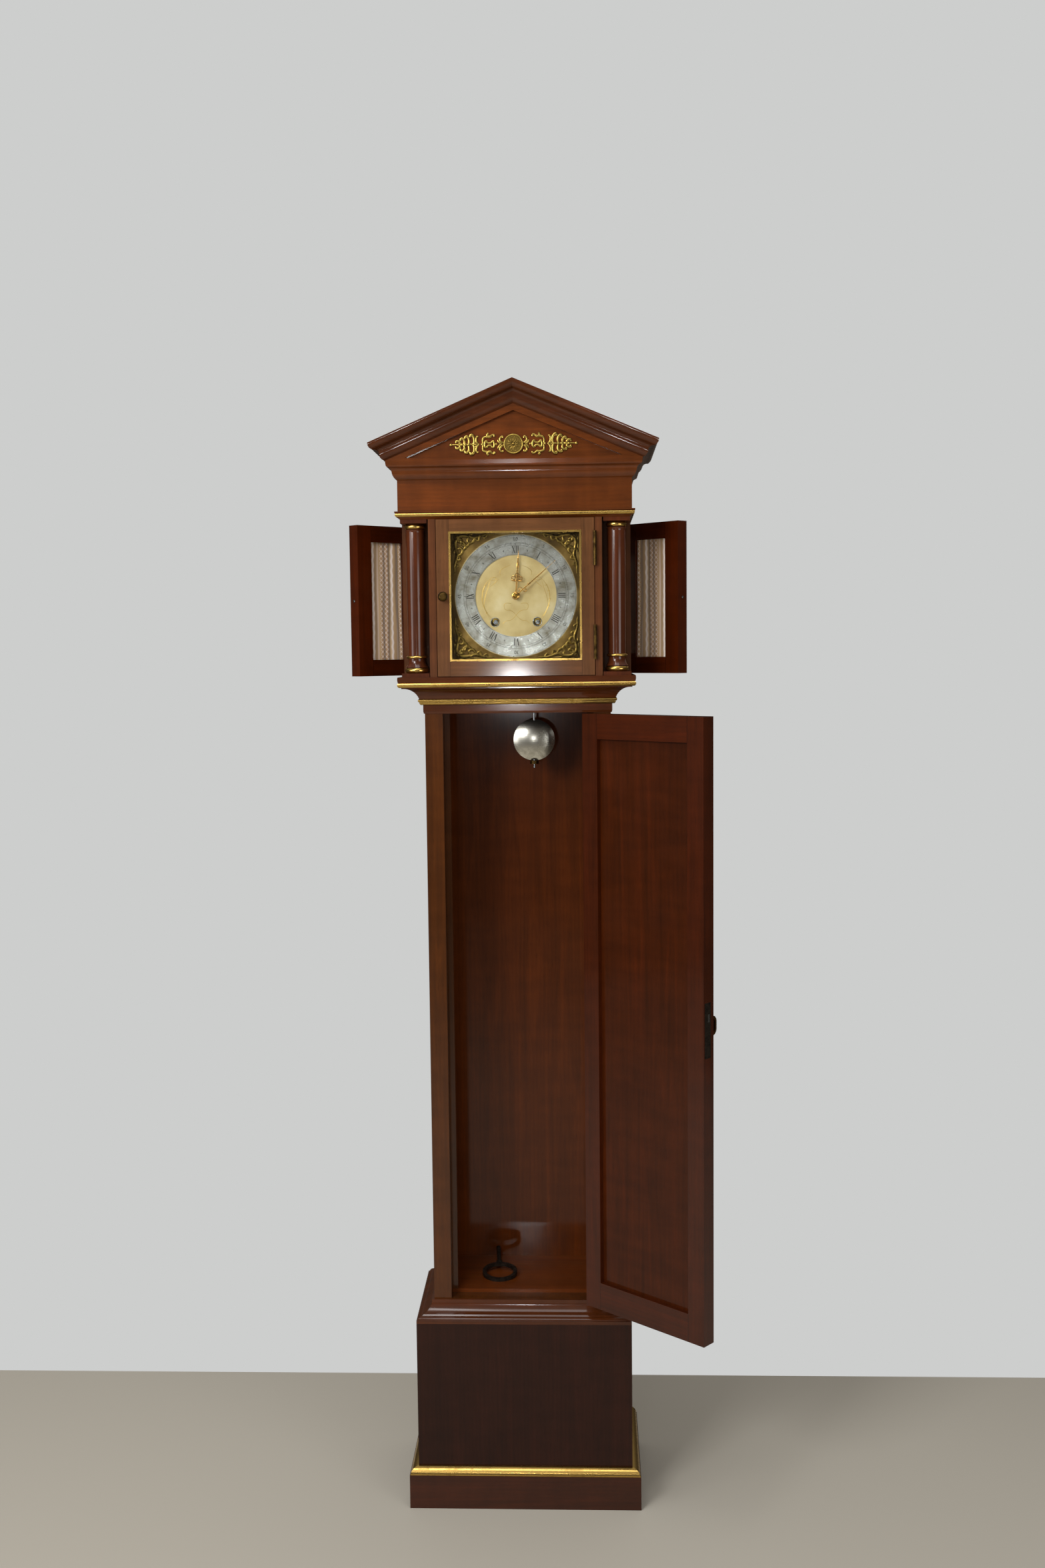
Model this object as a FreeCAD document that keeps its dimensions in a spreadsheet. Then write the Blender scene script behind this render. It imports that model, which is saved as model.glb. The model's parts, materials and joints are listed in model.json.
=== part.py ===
import FreeCAD, Part
import math
import os
import Sketcher
from FreeCAD import Placement, Rotation, Vector

# Mora clock: a tall case of base, trunk and pedimented hood round a brass movement with its pendulum.
# Frame: origin at the centre of the plinth's underside, X to the right, Y to the back, Z up.

# Sizes of the case, in millimetres
CASE = {
    "plinth_width": 427.0,
    "plinth_depth": 248.0,
    "plinth_height": 63.0,
    "plinth_board": 15.5,
    "plinth_bead_height": 12.5,
    "base_top": 346.0,
    "board": 18.0,
    "floor_board": 12.0,
    "trunk_inset": 31.0,
    "base_moulding_height": 35.7,
    "trunk_rail_bottom": 36.0,
    "trunk_floor_top": 389.0,
    "trunk_floor_board": 19.0,
    "trunk_door_top": 1468.0,
    "trunk_stile": 32.0,
    "trunk_stile_thickness": 22.0,
    "stop_width": 10.0,
    "stop_depth": 14.5,
    "backboard": 12.0,
    "backboard_gap": 0.5,
    "hood_bottom": 1534.0,
    "hood_overhang": 38.5,
    "ledge_height": 10.0,
    "ledge_overhang": 44.0,
    "ledge_wall": 30.0,
    "ledge_bead_height": 8.6,
    "neck_bead_height": 10.6,
    "seat_bottom": 1550.0,
    "seat_board": 22.0,
    "seat_front": 50.0,
    "seat_slot_width": 44.0,
    "seat_slot_depth": 26.0,
    "soffit_bottom": 1811.0,
    "soffit_set_back": 3.8,
    "frieze_bottom": 1815.0,
    "frieze_bead_height": 7.0,
    "frieze_bead_overhang": 5.0,
    "frieze_fillet": 2.5,
    "frieze_fillet_overhang": 5.4,
    "frieze_top": 1878.2,
    "cornice_height": 32.6,
    "cornice_overhang": 18.5,
    "eaves_height": 28.2,
    "eaves_overhang": 45.3,
    "roof_rise": 106.0,
    "roof_board": 10.0,
    "recess_half_width": 189.0,
    "recess_margin": 4.2,
    "recess_height": 79.0,
    "recess_depth": 7.0,
    "applique_width": 222.0,
    "applique_height": 39.0,
    "applique_z": 1938.0,
    "applique_thickness": 3.0,
    "rosette_radius": 17.0,
    "running_gap": 0.3,
    "overrun": 1.0,
}

# Sizes of the hood's front, columns and doors
HOOD = {
    "cheek": 12.5,
    "cheek_inner": 140.0,
    "post_thickness": 14.0,
    "post_front": 65.0,
    "post_half_width": 204.0,
    "rear_post_width": 17.5,
    "rear_post_depth": 35.0,
    "column_x": 178.5,
    "column_y": 89.5,
    "block_side": 49.0,
    "block_height": 7.0,
    "abacus_side": 47.0,
    "abacus_height": 7.0,
    "base_ring_radius": 22.3,
    "base_ring_height": 10.0,
    "base_bell_height": 16.0,
    "base_bell_radius": 20.0,
    "astragal_height": 5.0,
    "shaft_bottom_radius": 15.5,
    "shaft_top_radius": 16.35,
    "capital_ring_radius": 19.5,
    "capital_ring_height": 10.0,
    "capital_neck_height": 6.0,
    "dial_door_gap": 1.2,
    "dial_door_thickness": 19.0,
    "dial_door_front": 118.0,
    "dial_z": 1675.0,
    "sight_width": 233.0,
    "sight_height": 227.0,
    "sight_bar": 3.5,
    "sight_face": 4.0,
    "sight_depth": 5.0,
    "glass_thickness": 3.0,
    "glass_margin": 4.0,
    "rebate_gap": 0.5,
    "knob_x": 127.0,
    "knob_radius": 9.0,
    "knob_neck_radius": 4.5,
    "knob_length": 17.0,
    "side_door_gap": 1.0,
    "side_door_thickness": 21.5,
    "side_door_angle": 46.5,
    "side_door_stile": 33.0,
    "side_door_rail": 30.0,
    "side_door_bevel": 2.5,
    "cloth_set_back": 4.6,
    "cloth_thickness": 1.6,
    "cloth_folds": 7,
    "catch_radius": 5.0,
    "catch_length": 1.9,
    "trunk_door_gap": 1.5,
    "trunk_door_thickness": 28.0,
    "trunk_door_angle": 139.0,
    "trunk_door_stile": 34.0,
    "trunk_door_top_rail": 44.0,
    "trunk_door_bottom_rail": 50.0,
    "trunk_door_free_gap": 2.2,
    "trunk_panel": 12.0,
    "trunk_panel_set_back": 9.0,
    "panel_rebate": 8.0,
    "hinge_height": 60.0,
    "hinge_leaf_share": 0.4,
    "hinge_width": 14.0,
    "hinge_barrel_radius": 3.2,
    "hinge_pin_radius": 1.6,
    "hinge_fit": 0.08,
    "hinge_stand_off": 3.5,
}

# Sizes of the lock and the two keys
LOCKS = {
    "lock_z": 935.0,
    "faceplate_height": 96.0,
    "faceplate_width": 17.0,
    "faceplate": 1.5,
    "lock_height": 84.0,
    "lock_width": 31.0,
    "lock_depth": 15.0,
    "lock_cover": 4.0,
    "lock_key_inset": 17.0,
    "bolt_height": 14.0,
    "bolt_thickness": 5.0,
    "bolt_length": 24.0,
    "bolt_rise": 21.0,
    "bolt_throw": 8.0,
    "bolt_set_forward": 3.0,
    "bolt_fit": 0.3,
    "bit_chamber_radius": 12.5,
    "bit_length": 11.0,
    "bit_height": 5.0,
    "bit_thickness": 2.4,
    "key_shank_radius": 3.0,
    "key_fit": 0.4,
    "key_collar_radius": 5.0,
    "key_collar_length": 3.0,
    "key_stand_off": 2.0,
    "bow_height": 35.0,
    "bow_length": 23.0,
    "bow_wire": 4.5,
    "bow_thickness": 4.0,
    "escutcheon_radius": 9.0,
    "escutcheon": 1.2,
    "winding_bow_radius": 33.0,
    "winding_bow_wire": 6.5,
    "winding_bow_thickness": 6.0,
    "winding_shank": 64.0,
    "winding_shank_radius": 4.0,
    "winding_collar_radius": 6.2,
    "winding_collar": 5.0,
    "winding_socket_side": 4.4,
    "winding_socket_depth": 14.0,
    "winding_key_x": 50.0,
    "winding_key_lean": 6.0,
    "winding_key_turn": 4.5,
    "winding_key_gap": 0.3,
}

# Sizes of the dial, hands, movement and pendulum
MOVEMENT = {
    "arbor_z": 1676.0,
    "dial_width": 240.0,
    "dial_height": 236.0,
    "dial_plate": 2.5,
    "dial_plate_front": 92.0,
    "chapter_outer": 107.5,
    "chapter_inner": 72.0,
    "chapter_thickness": 1.5,
    "spandrel_thickness": 3.0,
    "spandrel_gap": 1.5,
    "spandrel_margin": 9.0,
    "dial_foot_radius": 3.0,
    "dial_foot_x": 62.0,
    "dial_foot_rise": 72.0,
    "winding_x": 37.5,
    "winding_hole_radius": 7.0,
    "plate_half_width": 80.0,
    "plate_height": 198.0,
    "plate_thickness": 3.0,
    "plate_front": 60.0,
    "plate_gap": 62.0,
    "pillar_x": 74.0,
    "pillar_inset": 10.0,
    "pillar_radius": 4.0,
    "arbor_radius": 1.5,
    "pivot_radius": 1.0,
    "pivot_fit": 0.06,
    "module_great": 1.484,
    "module_centre": 0.875,
    "module_third": 0.85,
    "module_motion": 0.9,
    "great_y": 54.0,
    "strike_great_y": 1.0,
    "wheel_thickness": 2.0,
    "great_thickness": 3.0,
    "pinion_overlap": 1.0,
    "drum_radius": 28.5,
    "drum_flange": 2.0,
    "drum_gap": 2.0,
    "winding_arbor_radius": 4.0,
    "winding_square": 5.0,
    "winding_square_length": 14.0,
    "winding_arbor_front": 89.0,
    "winding_shoulder": 1.0,
    "barrel_fit": 0.06,
    "centre_wheel_y": 40.0,
    "third_wheel_y": 28.0,
    "escape_wheel_y": 14.0,
    "escape_x": 26.0,
    "escape_rise": 41.0,
    "escape_radius": 17.0,
    "escape_tooth": 4.0,
    "anchor_rise": 24.0,
    "anchor_thickness": 4.0,
    "hub_radius": 4.0,
    "rim": 4.0,
    "spoke": 3.0,
    "cannon_radius": 2.6,
    "cannon_fit": 0.05,
    "hour_pipe_radius": 4.0,
    "minute_wheel_y": 68.0,
    "hour_wheel_y": 74.5,
    "stud_radius": 1.5,
    "hand_thickness": 1.2,
    "hour_hand_y": 99.0,
    "minute_hand_y": 102.0,
    "hour_hand_length": 80.0,
    "hour_hand_angle": 4.1,
    "minute_hand_length": 94.0,
    "minute_hand_angle": 49.0,
    "hand_boss": 7.0,
    "hand_width": 4.0,
    "strike_x": 52.9,
    "strike_radius": 20.0,
    "strike_y": 22.0,
    "strike_pin_radius": 1.2,
    "strike_pin_length": 5.0,
    "hammer_x": 58.0,
    "hammer_rise": 59.0,
    "hammer_y": 30.0,
    "hammer_head_radius": 5.0,
    "hammer_head_length": 13.0,
    "hammer_gap": 0.8,
    "hammer_arm": 3.0,
    "hammer_tail": 14.0,
    "bell_x": 15.0,
    "bell_y": 30.0,
    "bell_radius": 40.0,
    "bell_bottom": 1785.0,
    "bell_height": 21.0,
    "bell_wall": 2.2,
    "bell_seat": 0.15,
    "bridge_width": 14.0,
    "bridge_height": 4.0,
    "bell_post_radius": 3.0,
    "pendulum_z": 1741.0,
    "pendulum_y": 26.0,
    "pendulum_length": 327.5,
    "rod_radius": 2.0,
    "rod_bottom": 52.0,
    "spring_width": 5.0,
    "spring_thickness": 0.8,
    "spring_length": 16.0,
    "cock_arm": 8.0,
    "cock_width": 16.0,
    "crutch_y": 16.0,
    "crutch_length": 66.0,
    "crutch_width": 4.0,
    "crutch_fork": 14.0,
    "crutch_fit": 0.4,
    "bob_radius": 38.5,
    "bob_thickness": 18.0,
    "bob_edge": 2.0,
    "nut_radius": 8.0,
    "nut_height": 6.0,
    "thread_fit": 0.05,
    "tooth_tip_share": 0.25,
    "tooth_root_share": 0.7,
    "pinion_root_share": 0.6,
    "addendum_share": 0.9,
    "dedendum_share": 1.1,
    "great_teeth": 72,
    "centre_teeth": 64,
    "third_teeth": 60,
    "escape_teeth": 30,
    "minute_teeth": 30,
    "hour_teeth": 32,
    "cannon_teeth": 10,
    "pinion_teeth": 8,
    "strike_pins": 8,
    "crossings": 4,
}

TABLES = {"Case": CASE, "Hood and doors": HOOD, "Locks and keys": LOCKS, "Movement": MOVEMENT}
VALUES = {name: value for table in TABLES.values() for name, value in table.items()}

doc = FreeCAD.newDocument("mora_clock")
sheet = doc.addObject("Spreadsheet::Sheet", "dims")


def fill_sheet():
    """Writes each table under its heading, one size to a row, with its name as alias."""
    row = 1
    for heading, table in TABLES.items():
        sheet.set(f"A{row}", heading)
        for name, value in table.items():
            row += 1
            sheet.set(f"A{row}", name)
            sheet.set(f"B{row}", str(value))
            sheet.setAlias(f"B{row}", name)
        row += 2
    doc.recompute()


class Size:
    """A size worked out from the sheet: its value, and the expression that ties it to the cells."""

    def __init__(self, value, text):
        self.value = float(value)
        self.text = text

    def __add__(self, other):
        other = as_size(other)
        return Size(self.value + other.value, f"({self.text} + {other.text})")

    def __sub__(self, other):
        other = as_size(other)
        return Size(self.value - other.value, f"({self.text} - {other.text})")

    def __mul__(self, other):
        other = as_size(other)
        return Size(self.value * other.value, f"{self.text} * {other.text}")

    def __truediv__(self, other):
        other = as_size(other)
        return Size(self.value / other.value, f"{self.text} / ({other.text})")

    def __neg__(self):
        return Size(-self.value, f"(0 - {self.text})")

    def __radd__(self, other):
        return as_size(other) + self

    def __rsub__(self, other):
        return as_size(other) - self

    def __rmul__(self, other):
        return self * other


def as_size(value):
    return value if isinstance(value, Size) else Size(value, f"({value!r})")


def root(size):
    return Size(math.sqrt(size.value), f"sqrt({size.text})")


class Dimensions:
    """Gives each named cell as a Size."""

    def __getattr__(self, name):
        return Size(VALUES[name], f"dims.{name}")


d = Dimensions()
nodes = []


def new_body(name):
    body = doc.addObject("PartDesign::Body", name)
    body.Label = name
    return body


def origin_feature(body, role):
    return next(feature for feature in body.Origin.OriginFeatures if feature.Role == role)


def new_sketch(body, role, offset=0, turn=0.0):
    """A sketch on one of the body's own origin planes, moved along its normal and turned in its plane."""
    offset = as_size(offset)
    sketch = body.newObject("Sketcher::SketchObject", "Sketch")
    sketch.AttachmentSupport = [(origin_feature(body, role), "")]
    sketch.MapMode = "FlatFace"
    sketch.AttachmentOffset = Placement(Vector(0, 0, offset.value), Rotation(Vector(0, 0, 1), turn))
    sketch.setExpression("AttachmentOffset.Base.z", offset.text)
    return sketch


def constrain(sketch, kind, *where, size=None):
    """Adds a constraint, and ties its value to the sheet where it has one."""
    if size is None:
        sketch.addConstraint(Sketcher.Constraint(kind, *where))
        return
    number = sketch.addConstraint(Sketcher.Constraint(kind, *where, size.value))
    name = f"size{number}"
    sketch.renameConstraint(number, name)
    sketch.setExpression(f"Constraints.{name}", size.text)


def place_point(sketch, geometry, end, across, up):
    """Ties a point to its distances from the sketch's axes."""
    for kind, axis, size in (("DistanceX", -2, across), ("DistanceY", -1, up)):
        if isinstance(size, Size):
            constrain(sketch, kind, -1, 1, geometry, end, size=size)
        else:
            constrain(sketch, "PointOnObject", geometry, end, axis)


def arc_between(start, end, radius):
    """An arc under a half circle; a radius over zero turns left on the way, one below zero turns right."""
    middle = (start + end) / 2
    chord = end - start
    reach = math.sqrt(max(radius ** 2 - (chord.Length / 2) ** 2, 0.0))
    normal = Vector(-chord.y, chord.x, 0).normalize()
    centre = middle + normal * math.copysign(reach, radius)
    first, last = (start, end) if radius > 0 else (end, start)
    angles = [math.atan2(point.y - centre.y, point.x - centre.x) for point in (first, last)]
    circle = Part.Circle(centre, Vector(0, 0, 1), abs(radius))
    return Part.ArcOfCircle(circle, angles[0], angles[1])


def draw(sketch, points, closed=True):
    """Draws lines from point to point. A third value makes the way to that point an arc of that radius."""
    flat = [Vector(as_size(point[0]).value, as_size(point[1]).value, 0) for point in points]
    count = len(points) if closed else len(points) - 1
    starts, ends = [], []
    for number in range(count):
        following = (number + 1) % len(points)
        goal = points[following]
        if len(goal) == 3:
            geometry = sketch.addGeometry(arc_between(flat[number], flat[following], goal[2].value), False)
            forward = goal[2].value > 0
            starts.append((geometry, 1 if forward else 2))
            ends.append((geometry, 2 if forward else 1))
            length = goal[2] if forward else -goal[2]
            constrain(sketch, "Radius", geometry, size=length)
        else:
            geometry = sketch.addGeometry(Part.LineSegment(flat[number], flat[following]), False)
            starts.append((geometry, 1))
            ends.append((geometry, 2))
    for number in range(count):
        place_point(sketch, *starts[number], *points[number][:2])
        following = (number + 1) % len(points)
        if closed or number < count - 1:
            constrain(sketch, "Coincident", *ends[number], *starts[following])
        else:
            place_point(sketch, *ends[number], *points[following][:2])


def draw_circle(sketch, across, up, radius):
    centre = Vector(as_size(across).value, as_size(up).value, 0)
    geometry = sketch.addGeometry(Part.Circle(centre, Vector(0, 0, 1), radius.value), False)
    constrain(sketch, "Radius", geometry, size=radius)
    place_point(sketch, geometry, 3, across, up)


def rectangle(x_range, y_range):
    return [(x_range[0], y_range[0]), (x_range[1], y_range[0]),
            (x_range[1], y_range[1]), (x_range[0], y_range[1])]


def pad(body, sketch, length):
    """Thickens a sketch along its plane's normal: up on XY, to the front on XZ, to the right on YZ."""
    feature = body.newObject("PartDesign::Pad", "Pad")
    feature.Profile = sketch
    feature.Length = length.value
    feature.setExpression("Length", length.text)
    return feature


def pocket(body, sketch, length):
    """Cuts a sketch against its plane's normal: down on XY, to the back on XZ, to the left on YZ."""
    feature = body.newObject("PartDesign::Pocket", "Pocket")
    feature.Profile = sketch
    feature.Length = length.value
    feature.setExpression("Length", length.text)
    return feature


def revolve(body, points, cut=False):
    """Turns a half outline of (radius, height) points about the body's upright axis."""
    sketch = new_sketch(body, "XZ_Plane")
    draw(sketch, points)
    feature = body.newObject("PartDesign::Groove" if cut else "PartDesign::Revolution", "Turning")
    feature.Profile = sketch
    feature.ReferenceAxis = (sketch, ["V_Axis"])
    feature.Angle = 360
    return feature


def turned(name, points):
    body = new_body(name)
    revolve(body, points)
    return body


def prism(name, role, offset, points, length):
    body = new_body(name)
    sketch = new_sketch(body, role, offset)
    draw(sketch, points)
    pad(body, sketch, length)
    return body


def box(x_range, y_range, z_range):
    """A plain board between two bounds on each axis."""
    board = doc.addObject("Part::Box", "Board")
    for side, axis, bounds in (("Length", "x", x_range), ("Width", "y", y_range), ("Height", "z", z_range)):
        low, high = bounds
        size = high - low if isinstance(high, Size) else -low
        setattr(board, side, size.value)
        board.setExpression(side, size.text)
        board.setExpression(f"Placement.Base.{axis}", as_size(low).text)
    return board


def rod(radius, x, z, y_range):
    """A round rod from front to back."""
    cylinder = doc.addObject("Part::Cylinder", "Rod")
    cylinder.Radius = radius.value
    cylinder.setExpression("Radius", radius.text)
    length = y_range[1] - y_range[0]
    cylinder.Height = length.value
    cylinder.setExpression("Height", length.text)
    turn_to_back(cylinder, x, y_range[0], z)
    return cylinder


def turn_to_back(shape, x, y, z):
    """Lays a piece that was made along Z so that its axis runs to the back from the given place."""
    shape.Placement = Placement(Vector(0, 0, 0), Rotation(Vector(1, 0, 0), -90))
    for axis, size in (("x", x), ("y", y), ("z", z)):
        shape.setExpression(f"Placement.Base.{axis}", as_size(size).text)


def moved(shape, x=0, y=0, z=0):
    for axis, size in (("x", x), ("y", y), ("z", z)):
        shape.setExpression(f"Placement.Base.{axis}", as_size(size).text)
    return shape


def combined(kind, parts):
    """Joins solids, or cuts the later ones from the first."""
    result = doc.addObject(kind, kind.split("::")[1])
    if kind == "Part::Cut":
        result.Base, result.Tool = parts
    else:
        result.Shapes = parts
    return result


def fuse(*parts):
    return combined("Part::MultiFuse", list(parts))


def cut(base, tool):
    return combined("Part::Cut", (base, tool))


def mirrored(shape):
    """The same piece on the other side of the clock's middle plane."""
    image = doc.addObject("Part::Mirroring", "Mirrored")
    image.Source = shape
    image.Normal = Vector(1, 0, 0)
    return image


def group(name, parts):
    """A node of several solids."""
    compound = doc.addObject("Part::Compound", name)
    compound.Links = list(parts)
    compound.Label = name
    nodes.append(compound)
    return compound


def node(name, shape):
    """A node of one solid."""
    shape.Label = name
    nodes.append(shape)
    return shape


def u_moulding(name, profile, half, front, back):
    """Runs a profile of (overhang, z) points round the front and both sides, mitred at the corners."""
    body = new_body(name)
    route = new_sketch(body, "XY_Plane")
    draw(route, [(-half, back), (-half, front), (half, front), (half, back)], closed=False)
    section = new_sketch(body, "XZ_Plane", -back)
    outline = [(-half - point[0], point[1], *(-radius for radius in point[2:])) for point in profile]
    draw(section, outline)
    pipe = body.newObject("PartDesign::AdditivePipe", "Moulding")
    pipe.Profile = section
    pipe.Spine = route
    pipe.Transition = "Right corner"
    return body


# Planes that the case's pieces share
back = d.plinth_depth / 2
plinth_half = d.plinth_width / 2
base_half = plinth_half - d.plinth_board
base_front = -back + d.plinth_board
trunk_half = base_half - d.trunk_inset
trunk_front = base_front + d.trunk_inset
opening_half = trunk_half - d.trunk_stile
stile_back = trunk_front + d.trunk_stile_thickness
door_back = trunk_front + d.trunk_door_thickness
lock_back = door_back - d.lock_cover
lock_front = lock_back - d.lock_depth
trunk_inner = trunk_half - d.board
backboard_front = back - d.backboard
hood_half = trunk_half + d.hood_overhang
hood_front = trunk_front - d.hood_overhang
cheek_half = d.cheek_inner + d.cheek
post_back = -d.post_front + d.post_thickness
rear_post_front = back - d.rear_post_depth
rear_post_inner = hood_half - d.rear_post_width
rail_top = d.base_top + d.trunk_rail_bottom
cornice_top = d.frieze_top + d.cornice_height
eaves_top = cornice_top + d.eaves_height
roof_slope = d.roof_rise / (hood_half + d.eaves_overhang)
fascia_half = hood_half + d.cornice_overhang


def roof_level(distance):
    """The height of the roof's upper face at a distance from the clock's middle plane."""
    return eaves_top + roof_slope * (hood_half + d.eaves_overhang - distance)


def build_base():
    u_points = [
        (-plinth_half, back), (-plinth_half, -back), (plinth_half, -back), (plinth_half, back),
        (base_half, back), (base_half, base_front), (-base_half, base_front), (-base_half, back),
    ]
    node("plinth_skirt", prism("plinth_skirt", "XY_Plane", 0, u_points, d.plinth_height))
    inner = base_half - d.board
    sides = [
        (-base_half, back), (-base_half, base_front), (base_half, base_front), (base_half, back),
        (inner, back), (inner, base_front + d.board), (-inner, base_front + d.board), (-inner, back),
    ]
    node("base_box", prism("base_box", "XY_Plane", 0, sides, d.base_top))
    depth = (base_front + d.board, backboard_front)
    group("shelf_boards", [
        box((-inner, inner), depth, (0, d.floor_board)),
        box((-inner, inner), depth, (d.base_top - d.floor_board, d.base_top)),
        box((-trunk_inner, trunk_inner), (door_back, backboard_front),
            (d.trunk_floor_top - d.trunk_floor_board, d.trunk_floor_top)),
    ])
    low, rise, reach = d.base_top, d.base_moulding_height, d.trunk_inset
    profile_share = [
        (1.0, 0.0), (1.0, 0.17), (0.935, 0.17), (0.90, 0.235), (0.68, 0.31), (0.61, 0.37),
        (0.145, 0.812), (0.145, 1.0), (0.0, 1.0), (0.0, 0.0),
    ]
    bends = {4: d.trunk_inset * 0.3, 6: -(d.trunk_inset * 0.75)}
    points = []
    for number, (across, up) in enumerate(profile_share):
        point = (reach * across if across else 0, low + rise * up)
        points.append((*point, bends[number]) if number in bends else point)
    node("base_moulding", u_moulding("base_moulding", points, trunk_half, trunk_front, back))


def lock_places():
    """The places that the trunk door, its lock and its key share, with the door closed."""
    free = -(opening_half - d.trunk_door_free_gap)
    bolt_y = lock_back - d.lock_depth / 2 - d.bolt_set_forward
    bolt_z = d.lock_z + d.bolt_rise
    return free, free + d.lock_key_inset, bolt_y, bolt_z


def bolt_keep():
    """The mortise in the stile that the bolt shoots into."""
    bolt_y, bolt_z = lock_places()[2:]
    half, tall = d.bolt_thickness / 2 + 2 * d.bolt_fit, d.bolt_height / 2 + 2 * d.bolt_fit
    return box((-opening_half - d.bolt_throw, -opening_half + d.overrun), (bolt_y - half, bolt_y + half),
               (bolt_z - tall, bolt_z + tall))


def build_trunk():
    sides = []
    for side in (-1, 1):
        x_range = sorted((trunk_inner * side, trunk_half * side), key=lambda size: size.value)
        side_board = box(x_range, (stile_back, back), (d.base_top, d.hood_bottom))
        seat_rest = box(x_range, (-d.seat_front, back), (d.hood_bottom, d.seat_bottom))
        sides.append(fuse(side_board, seat_rest))
    group("trunk_sides", sides)
    parts = [
        box((-opening_half, opening_half), (trunk_front, door_back), (d.base_top, rail_top)),
        box((-opening_half, opening_half), (trunk_front, door_back), (d.trunk_door_top, d.hood_bottom)),
    ]
    stop_inner = trunk_inner - d.stop_width - (trunk_inner - opening_half)
    for side in (-1, 1):
        stile = sorted((opening_half * side, trunk_half * side), key=lambda size: size.value)
        stop = sorted((stop_inner * side, trunk_inner * side), key=lambda size: size.value)
        board = box(stile, (trunk_front, stile_back), (d.base_top, d.hood_bottom))
        parts.append(cut(board, bolt_keep()) if side < 0 else board)
        parts.append(box(stop, (door_back, door_back + d.stop_depth), (d.trunk_floor_top, d.trunk_door_top)))
    group("trunk_front_frame", parts)
    inner = base_half - d.board
    hood_inner = rear_post_inner - d.backboard_gap
    outline = [
        (-inner, 0), (inner, 0), (inner, d.base_top), (trunk_inner, d.base_top),
        (trunk_inner, d.seat_bottom), (hood_inner, d.seat_bottom),
        (hood_inner, roof_level(hood_inner) - d.roof_board), (0, roof_level(0) - d.roof_board),
        (-hood_inner, roof_level(hood_inner) - d.roof_board),
        (-hood_inner, d.seat_bottom), (-trunk_inner, d.seat_bottom),
        (-trunk_inner, d.base_top), (-inner, d.base_top),
    ]
    node("backboard", prism("backboard", "XZ_Plane", -back, outline, d.backboard))


def build_neck(column_rings):
    low = d.trunk_door_top
    bead_low = d.hood_bottom - d.ledge_height - d.ledge_bead_height
    top = d.hood_bottom - d.ledge_height
    neck_low = bead_low - (top - low) * 0.564
    reach = d.ledge_overhang
    bead_seat = reach * 0.061
    points = [
        (0, low), (reach * 0.039, low), (bead_seat, low + d.neck_bead_height * 0.36), (bead_seat, neck_low),
        (bead_seat, neck_low + d.neck_bead_height), (reach * 0.207, neck_low + d.neck_bead_height),
        (reach * 0.807, bead_low - (bead_low - neck_low) * 0.06, -(reach * 0.62)),
        (reach * 0.855, bead_low - (bead_low - neck_low) * 0.06), (reach * 0.855, bead_low),
        (d.ledge_wall, bead_low), (d.ledge_wall, top), (0, top),
    ]
    node("neck_cavetto", u_moulding("neck_cavetto", points, trunk_half, trunk_front, back))
    ledge_share = [(0.98, 0.0), (1.0, 0.55), (0.99, 1.0)]
    ledge = [(0, top)] + [(reach * across, top + d.ledge_height * up) for across, up in ledge_share]
    ledge.append((0, d.hood_bottom))
    node("hood_ledge", u_moulding("hood_ledge", ledge, trunk_half, trunk_front, back))
    rise = d.neck_bead_height
    neck_bead = [
        (bead_seat, neck_low), (reach * 0.14, neck_low), (reach * 0.2, neck_low + rise * 0.45, rise * 0.4),
        (reach * 0.22, neck_low + rise * 0.45), (reach * 0.22, neck_low + rise, rise * 0.34),
        (bead_seat, neck_low + rise),
    ]
    rise = d.ledge_bead_height
    ledge_bead = [
        (d.ledge_wall, bead_low), (reach * 0.93, bead_low), (reach * 0.95, top, rise * 0.55),
        (d.ledge_wall, top),
    ]
    rise = d.plinth_bead_height
    front = d.plinth_board
    plinth_bead = [
        (0, d.plinth_height), (front * 0.94, d.plinth_height), (0, d.plinth_height + rise, rise * 1.12),
    ]
    low = d.frieze_bottom
    rise = d.frieze_bead_height
    reach = d.frieze_bead_overhang * 0.5
    frieze_bead = [(0, low), (reach, low), (reach, low + rise, rise * 0.56), (0, low + rise)]
    group("gilt_mouldings", [
        u_moulding("plinth_bead", plinth_bead, base_half, base_front, back),
        u_moulding("neck_bead", neck_bead, trunk_half, trunk_front, back),
        u_moulding("ledge_bead", ledge_bead, trunk_half, trunk_front, back),
        u_moulding("frieze_bead", frieze_bead, hood_half, hood_front, back),
    ] + column_rings)


def ring_outline(radius, low, height):
    """A half-round ring, solid to its middle."""
    edge = radius - height * 0.5
    return [(0, low), (edge, low), (edge, low + height, height * 0.52), (0, low + height)]


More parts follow.
